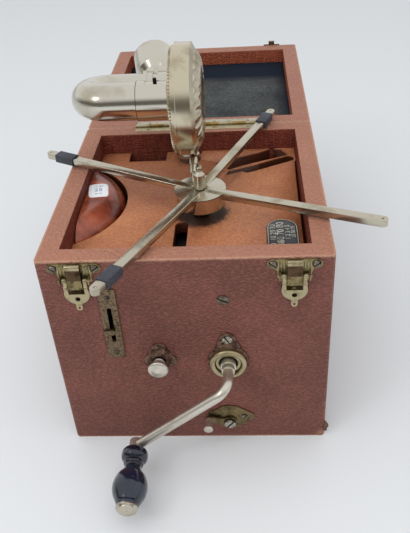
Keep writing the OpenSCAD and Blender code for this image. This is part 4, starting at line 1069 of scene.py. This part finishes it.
@dataclass
class FrontFittings:
    """Plates, screws and knobs on the front of the case. A box is the part that gets another finish."""

    mark_size: float = 2.3
    mark_in: float = 1.75
    marks: tuple[tuple[str, float], ...] = (("8", 10.4), ("7", 0.2), ("6", -10.0))
    crank: tuple[float, float] = (22.1, 69.2)
    bush_box: tuple = ((10.1, -100.0, 57.2), (34.1, -86.5, 81.2))
    peg_box: tuple = ((4.0, -101.0, 15.5), (11.2, -89.0, 23.5))
    crank_screw_box: tuple = ((18.1, -100.0, 82.2), (26.1, -80.0, 91.2))
    catch_screw_box: tuple = ((14.1, -100.0, 12.0), (30.1, -80.0, 30.0))
    knob_box: tuple = ((-30.0, -120.0, 60.0), (-8.0, -90.0, 85.0))
    lip: tuple = ((-0.4, 7.7), (0.35, 7.7), (0.6, 7.4), (0.6, 6.1), (0.3, 5.7), (-0.4, 5.7))

    def build(self) -> None:
        """Eases and dresses each fitting, and adds plain numbers to the speed plate."""
        eased("speed_plate", 0.2, BRONZE, rub=PALE_PRESSING)
        eased("knob_escutcheon", 0.3, RUST)
        paint_part(eased("crank_escutcheon", 0.25, RUST), PALE_PRESSING, *self.bush_box)
        eased("catch_plate", 0.35, OLIVE, rub=PALE_PRESSING)
        paint_part(eased("catch_lever", 0.2, OLIVE), ROD_NICKEL, *self.peg_box)
        screws = eased("front_screws", 0.12, OLD_NICKEL)
        for bright in (self.crank_screw_box, self.catch_screw_box):
            paint_part(screws, BRIGHT_STEEL, *bright)
        shade_and_grime_slots(screws)
        paint_part(eased("stop_knob", 0.3, BRONZE), ROD_NICKEL, *self.knob_box)
        # The bush's near-black iron also paints the shade in the recess round the rod.
        dress_nodes(OILED_IRON, "crank_bush")
        centre = (self.crank[0], box_mm("crank_bush")[0][1], self.crank[1])
        ring = turned(np.array(self.lip), centre, (0, -1, 0))
        publish(mesh_of("bush_lip", [ring], ring=True), PALE_PRESSING, "case", sharp=30)
        eased("speed_pointer", 0.15, BRONZE)
        low, high = box_mm("speed_plate")
        marks = []
        for figures, rise in self.marks:
            at = (low[0] + self.mark_in, low[1] - 0.02, (low[2] + high[2]) / 2 + rise)
            marks.append(numerals(figures, self.mark_size, at, (1, 0, 0), (0, 0, 1), 0.1))
        publish(joined("speed_numbers", marks), RUST, "case")


@dataclass
class Latches:
    """The two toggle latches, their strike plates, and the hinge.

    A rib is its offset, half width and rise. A lip is its half width, and its reach and height from and to.
    """

    stain_z: float = 134.6
    bar_z: float = 141.6
    claw_top: float = 150.0
    claws_from: tuple[float, float] = (-100.0, -95.0)
    claws_to: tuple[float, float] = (100.0, -80.0)
    middles: tuple[float, float] = (-60.5, 60.5)
    plate_y: float = -85.8
    rib_z: tuple[float, float] = (131.6, 142.2)
    ribs: tuple[tuple[float, float, float], ...] = (
        (-8.9, 0.5, 0.5), (-7.2, 0.35, 0.45), (-5.4, 0.45, 0.6),
        (5.4, 0.45, 0.6), (7.2, 0.35, 0.45), (8.9, 0.5, 0.5))
    lips: tuple[tuple[float, float, float, float, float], ...] = (
        (7.3, -0.1, 1.1, 141.0, 145.7), (2.6, 0.3, 2.4, 145.4, 148.4))

    def build(self) -> None:
        """Eases and dresses the pressed parts."""
        eased("latch_plates", 0.25, BRASS, rub=PALE_PRESSING)
        shade_and_grime_slots(eased("latch_screws", 0.12, OLD_NICKEL))
        for side in ("left", "right"):
            eased(f"latch_lever_{side}", 0.15, PALE_PRESSING)
        for side in ("left", "right"):
            self.stain(eased(f"latch_claw_{side}", 0.12, BRASS))
        eased("strike_plates", 0.2, BRASS)
        dress_nodes(HINGE, "hinge_lid_leaf")
        dress_nodes(PALE_PRESSING, "hinge_case_leaf")
        dress_nodes(STEEL, "hinge_pin")
        self.add_ribs()
        self.add_lips()

    def stain(self, claw: bpy.types.Object) -> None:
        """Cuts a claw's faces at two levels, without moving anything, and paints the bands above them."""
        with editing(claw.data) as work:
            for height in (self.stain_z, self.bar_z):
                bmesh.ops.bisect_plane(work, geom=[*work.verts, *work.edges, *work.faces],
                                       plane_co=(0, 0, height * MM), plane_no=(0, 0, 1))
        bands = ((DARK_PRESSING, self.stain_z, self.bar_z), (PALE_PRESSING, self.bar_z, self.claw_top))
        for finish, low, high in bands:
            paint_part(claw, finish, (*self.claws_from, low), (*self.claws_to, high))

    def add_ribs(self) -> None:
        """Upright ribs pressed into the fixed plates: half a sine across, and eased at the ends."""
        low, high = self.rib_z
        z, t = np.meshgrid(np.linspace(low, high, 12), np.linspace(0, math.pi, 9), indexing="ij")
        swell = np.sqrt(np.clip(1 - np.abs((z - (low + high) / 2) / ((high - low) / 2)) ** 6, 0, 1))
        beads = [np.dstack([middle + offset + half * np.cos(t), self.plate_y - rise * swell * np.sin(t), z])
                 for middle in self.middles for offset, half, rise in self.ribs]
        publish(mesh_of("latch_ribs", beads), PALE_PRESSING, "case")

    def add_lips(self) -> None:
        """The strikes' bent lips, which stand just past the lid's rim."""
        edge = box_mm("lid")[1][1]
        shells = [block((middle - half, edge + near, low), (middle + half, edge + far, high))
                  for middle in self.middles for half, near, far, low, high in self.lips]
        publish(mesh_of("strike_lips", shells), OLD_NICKEL, "lid_body")


@dataclass
class Crank:
    """The bent rod, and the turned black handle with its nickel cap."""

    axis_x: float = -36.628
    axis_z: float = 20.960
    bore: float = 2.45
    groove: float = 0.45
    groove_half: float = 0.38
    grooves: tuple[float, ...] = (8.3, 11.2, 37.9)
    knots: tuple[tuple[float, float], ...] = (
        (0.0, 5.2), (0.5, 6.6), (2.0, 7.9), (4.2, 8.15), (6.4, 7.7), (7.9, 6.3), (8.8, 5.9), (10.4, 6.0),
        (12.0, 5.5), (13.6, 5.35), (16.4, 6.6), (20.0, 8.9), (24.4, 10.3), (28.4, 10.45), (32.0, 9.6),
        (35.2, 8.1), (37.6, 6.9), (39.2, 6.45), (39.8, 6.0))
    dish: tuple[tuple[float, float], ...] = (
        (0.0, 0.0), (0.0, 6.0), (0.35, 6.4), (1.2, 6.4), (1.7, 6.0), (2.0, 5.5), (2.5, 5.2), (2.95, 4.2),
        (2.9, 3.7), (3.1, 3.3), (3.35, 2.2), (3.4, 1.3), (3.55, 1.15), (3.6, 0.0))

    def build(self) -> None:
        """Makes the handle and cap and dresses the rod."""
        dress_nodes(ROD_NICKEL, "crank_rod")
        dress_nodes(STEEL, "crank_gear")
        low, high = box_mm("crank_handle")
        length = high[1] - low[1]
        outline = smooth_profile(self.knots, 160)
        outline[:, 0] *= length / self.knots[-1][0]
        for at in self.grooves:
            outline[:, 1] -= self.groove * np.exp(-((outline[:, 0] - at) / self.groove_half) ** 2)
        closed = np.vstack([outline, [(length, self.bore), (0.0, self.bore)]])
        grip = turned(closed, (self.axis_x, high[1], self.axis_z), (0, -1, 0), 72)
        publish(mesh_of("turned_handle", [grip], ring=True), LACQUER, "handle",
                ("crank_handle",), 50)
        low, high = box_mm("handle_cap")
        profile = np.array(self.dish) * ((high[1] - low[1]) / self.dish[-1][0], 1.0)
        cap = turned(profile, (self.axis_x, high[1], self.axis_z), (0, -1, 0), 56)
        publish(mesh_of("dished_cap", [cap], ends=False), ARM_NICKEL, "handle", ("handle_cap",), 30)


@dataclass
class Turntable:
    """Spindle, slotted hub and the four record arms with their rubber sleeves."""

    def build(self) -> None:
        """Eases the arms and the hub and dresses the rest."""
        for side in ("right", "back", "left", "front"):
            eased(f"record_arm_{side}", 0.4, ARM_NICKEL)
        eased("turntable_hub", 0.25, ARM_NICKEL)
        eased("arm_sleeves", 0.35, RUBBER)
        dress_nodes(ARM_NICKEL, "spindle")


@dataclass
class ToneArm:
    """Column, rear tube and gooseneck, with the bayonet joint on the front leg."""

    neck_y: float = 17.4
    neck_z: float = 193.2
    tube_r: float = 11.5
    sleeve_from: float = -30.8
    sleeve_to: float = -10.6
    sleeve_wall: float = 0.65
    slot_from: float = -25.6
    slot_low: float = 74.0
    slot_high: float = 118.0
    seam: tuple = ((-0.2, 0.0), (-0.2, 0.72), (0.12, 0.72), (0.12, 0.0))
    pin_x: float = -19.2
    pin_below: float = 8.0
    pin_sink: float = 0.3
    pin: tuple = ((0.0, 0.0), (0.0, 1.2), (3.0, 1.2), (3.4, 0.9), (3.5, 0.0))

    def build(self) -> None:
        """Dresses the tubes and adds the slotted sleeve, its seam and its pin."""
        eased("arm_column", 0.3, NICKEL)
        dress_nodes(NICKEL, "arm_tube", "gooseneck")
        dress_nodes(STEEL, "arm_spigot")
        self.slotted_sleeve()
        seam = np.array(self.seam) + (self.sleeve_from, self.tube_r)
        ring = turned(seam, (0.0, self.neck_y, self.neck_z), (1, 0, 0), 72)
        publish(mesh_of("sleeve_seam", [ring], ring=True), OILED_IRON, "neck", sharp=30)
        angle = math.radians((self.slot_low + self.slot_high) / 2 - self.pin_below)
        out = (0.0, -math.cos(angle), math.sin(angle))
        reach = self.tube_r - self.pin_sink
        base = (self.pin_x, self.neck_y + out[1] * reach, self.neck_z + out[2] * reach)
        pin = turned(np.array(self.pin), base, out, 24)
        publish(mesh_of("bayonet_pin", [pin], ends=False), OILED_IRON, "neck")

    def skin(self, x_from: float, x_to: float, low: float, high: float) -> np.ndarray:
        """A curved slab round the front leg: (x, angle) goes to radius r about the leg's axis.

        Args:
            x_from: where it starts along the leg.
            x_to: where it ends.
            low: its first angle, in degrees from the front, upwards.
            high: its last angle.

        Returns:
            The grid, whose two long ends are still open.
        """
        inner, outer = self.tube_r + 0.02, self.tube_r + self.sleeve_wall
        angles = np.radians(np.linspace(low, high, max(3, int((high - low) / 4))))
        x = np.linspace(x_from, x_to, 6)
        ring = np.array([(x[0], inner), *((v, outer) for v in x), (x[-1], inner)])
        at, r = ring[:, :1], ring[:, 1:]
        return np.dstack([np.broadcast_to(at, (len(ring), angles.size)), self.neck_y - r * np.cos(angles),
                          self.neck_z + r * np.sin(angles)])

    def slotted_sleeve(self) -> None:
        """A thin sleeve round the front leg, in two parts that leave an L-shaped slot to show the tube."""
        slabs = (self.skin(self.sleeve_from, self.sleeve_to, self.slot_high - 360, self.slot_low),
                 self.skin(self.sleeve_from, self.slot_from, self.slot_low, self.slot_high))
        parts = [mesh_of("slab", [slab], round_rows=False, ring=True) for slab in slabs]
        for part in parts:
            with editing(part) as work:
                bmesh.ops.holes_fill(work, edges=[e for e in work.edges if e.is_boundary], sides=0)
                bmesh.ops.recalc_face_normals(work, faces=work.faces)
        publish(joined("bayonet_sleeve", parts), NICKEL, "neck", sharp=30)


@dataclass
class SoundBox:
    """The sound box: knurled edges behind, a ring of flutes on the front dome, small screws on the back.

    A knurl is where it starts and ends, its low and high radius, its teeth and their depth.
    """

    y: float = 17.4
    z: float = 193.2
    back_x: float = -7.6
    knurls: tuple[tuple[float, float, float, float, int, float], ...] = (
        (-8.9, -7.58, 30.2, 32.3, 96, 0.9), (-11.6, -9.3, 12.2, 13.6, 40, 0.8))
    flutes: int = 24
    flute_r: tuple[float, float] = (19.0, 30.5)
    flute_rise: float = 0.9
    dome: tuple[tuple[float, float], ...] = ((13.0, 9.8), (18.0, 9.6), (24.0, 8.6), (29.0, 6.6), (32.0, 5.0))
    flute_sink: float = 0.08
    flute_depth: float = 0.5
    chamfer: float = 0.15
    screw_r: float = 24.5
    screw_angles: tuple[float, ...] = (30.0, 150.0, 270.0)
    screw_head: tuple = ((0.0, 0.0), (0.0, 1.7), (0.45, 1.6), (0.75, 1.0), (0.8, 0.0))

    def ring(self, x: np.ndarray, r: np.ndarray, t: np.ndarray) -> np.ndarray:
        """The grid of points at given places along the box's axis, radii and angles."""
        x, r, t = np.broadcast_arrays(x, r, t)
        return np.dstack([x, self.y + r * np.cos(t), self.z + r * np.sin(t)])

    def knurl(self, x_from: float, x_to: float, low: float, high: float, teeth: int,
              depth: float) -> np.ndarray:
        """A knurled ring: its outer radius falls by the depth in a smooth dip between each pair of teeth."""
        t = np.linspace(0, 2 * math.pi, teeth * 6, endpoint=False)
        dip = depth * np.clip(0.5 - 0.9 * np.cos(teeth * t), 0, 1)
        cut = self.chamfer
        section = np.array([
            (x_from, low, 0), (x_from, high - cut, 1), (x_from + cut, high, 1), (x_to - cut, high, 1),
            (x_to, high - cut, 1), (x_to, low, 0)])
        return self.ring(section[:, :1], section[:, 1:2] - section[:, 2:] * dip, t)

    def fluting(self) -> np.ndarray:
        """Raised flutes on the front dome: a cosine across them, and a root of a sine along each."""
        t = np.linspace(0, 2 * math.pi, self.flutes * 10, endpoint=False)
        r = np.linspace(*self.flute_r, 15)[:, None]
        base = np.interp(r, *zip(*self.dome))
        bump = self.flute_rise * np.sin(math.pi * (r - r[0]) / (r[-1] - r[0])) ** 0.5
        ripple = 0.5 + 0.5 * np.cos(self.flutes * t)
        return self.ring(base - self.flute_sink + bump * ripple, r, t)

    def build(self) -> None:
        """Dresses the nodes and adds the knurls, flutes and screws."""
        dress_nodes(BOX_NICKEL, "sound_box_back", "sound_box_ring")
        eased("needle_holder", 0.15, ARM_NICKEL)
        dress_nodes(THIN_SHEET, "diaphragm")
        rings = [self.knurl(*sizes) for sizes in self.knurls]
        publish(mesh_of("knurled_rings", rings, ring=True), BOX_NICKEL, "neck", sharp=30)
        top = self.fluting()
        flat = top[::-1].copy()
        flat[..., 0] = flat[..., 0].min(axis=1, keepdims=True) - self.flute_depth
        dome = mesh_of("dome_flutes", [np.vstack([top, flat])], ring=True)
        publish(dome, BOX_NICKEL, "neck", sharp=50)
        screws = []
        for angle in np.radians(self.screw_angles):
            spot = (self.back_x - 0.02, self.y + self.screw_r * math.cos(angle),
                    self.z + self.screw_r * math.sin(angle))
            screws.append(turned(np.array(self.screw_head), spot, (-1, 0, 0), 20))
        publish(mesh_of("back_screws", screws, ends=False), BRIGHT_STEEL, "neck")


@dataclass
class Motor:
    """The clockwork under the board, which shows through its openings."""

    steel: tuple[str, ...] = ("motor_top_plate", "motor_bottom_plate", "motor_pillars", "pivot_bracket",
                              "winding_bracket", "lever_stud", "governor_lever", "winding_arbor", "layshaft")
    brass: tuple[str, ...] = ("barrel", "governor")

    def build(self) -> None:
        """Dresses the plates, wheels and shafts."""
        dress_nodes(STEEL, *self.steel)
        dress_nodes(BRASS, *self.brass)


@dataclass(frozen=True)
class Studio:
    """Pale table and backdrop, soft lights and the camera. Its places are in metres.

    A lamp is its name, place, size, power in watts, and whether metal mirrors it.
    """

    camera_at: Point = (0.0370, -0.3825, 0.3579)
    right: Point = (0.9975, 0.0414, -0.0578)
    up: Point = (0.0221, 0.5926, 0.8053)
    back: Point = (0.0676, -0.8045, 0.5902)
    lens: float = 45.99
    reach: float = 6.0
    table: str = "#d3d5d7"
    wall: str = "#f1f2f3"
    room: str = "#6e6a66"
    ambient: float = 0.84
    daylight: tuple[float, float, float, float] = (0.97, 0.985, 1.0, 1.0)
    aim: Point = (0.0, 0.0, 0.1)
    lamps: tuple[tuple[str, Point, float, float, bool], ...] = (
        ("soft_box", (-0.16, -0.40, 1.25), 1.6, 9.2, False),
        ("front_fill", (0.1, -1.5, 0.6), 1.4, 4.0, False),
        ("window", (-0.75, -0.75, 1.05), 0.32, 1.6, True))

    def build(self) -> None:
        """Makes the camera, the table, the world and the lights."""
        self.place_camera()
        self.lay_table()
        self.light_world()
        self.hang_lights()

    def place_camera(self) -> None:
        """Sets the camera up from its three directions."""
        data = bpy.data.cameras.new("camera")
        data.lens = self.lens
        data.sensor_width = 36.0
        data.clip_end = 20.0
        camera = place_object("camera", data)
        turn = Matrix((self.right, self.up, self.back)).transposed().to_4x4()
        camera.matrix_world = Matrix.Translation(Vector(self.camera_at)) @ turn
        bpy.context.scene.camera = camera

    def lay_table(self) -> None:
        """Lays a wide pale table that keeps the object's shadow."""
        corners = [(x * self.reach, y * self.reach, 0) for x, y in ((-1, -1), (1, -1), (1, 1), (-1, 1))]
        mesh = bpy.data.meshes.new("table")
        mesh.from_pydata(corners, [], [(0, 1, 2, 3)])
        mesh.materials.append(Matt("table_paper", self.table, self.table, 0.75, 40.0, depth=0.0).make())
        place_object("table", mesh)

    def light_world(self) -> None:
        """Lights the scene from all round. Metal sees bright walls and a dim room low down in front of it."""
        world = bpy.data.worlds.new("studio")
        bpy.context.scene.world = world
        world.use_nodes = True
        world.node_tree.nodes.clear()
        g = Graph(world.node_tree)
        path = g.add("LightPath").outputs
        seen = g.maths("MAXIMUM", path["Is Camera Ray"], path["Is Glossy Ray"])
        heading = g.add("TexCoord").outputs["Generated"]
        _, y, z = g.split(heading)
        cloud = g.add("TexNoise", {"Vector": heading, "Scale": 1.6, "Detail": 1.0}).outputs["Fac"]
        up = g.sum_of(y, 0.3, g.sum_of(cloud, 0.7, z))
        sky = g.tint(g.spread(up, 0.31, 0.70), self.room, self.wall)
        backdrop = g.tint(path["Is Camera Ray"], sky, self.table)
        around = g.add("Background", {"Color": self.daylight, "Strength": self.ambient})
        shown = g.add("Background", {"Color": backdrop, "Strength": 1.0})
        mix = g.add("MixShader", {0: seen, 1: around.outputs[0], 2: shown.outputs[0]})
        g.add("OutputWorld", {"Surface": mix.outputs[0]})

    def hang_lights(self) -> None:
        """Hangs two wide soft boxes that metal doesn't mirror, and a small window that it does."""
        for name, at, size, power, mirrored in self.lamps:
            data = bpy.data.lights.new(name, "AREA")
            data.shape = "SQUARE"
            data.size = size
            data.energy = power
            lamp = place_object(name, data)
            lamp.location = at
            lamp.visible_glossy = mirrored
            lamp.rotation_euler = (Vector(self.aim) - Vector(at)).to_track_quat("-Z", "Y").to_euler()


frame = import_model()


def main() -> None:
    """Builds the object's looks and the studio round it."""
    logging.basicConfig(level=logging.INFO, format="%(message)s")
    bpy.context.scene.view_settings.view_transform = "Standard"
    for assembly in (Carcass(), Strap(), StoredResonator(), NumberPlate(), FrontFittings(), Latches(),
                     Crank(), Turntable(), ToneArm(), SoundBox(), Motor(), Studio()):
        assembly.build()


if __name__ == "__main__":
    main()
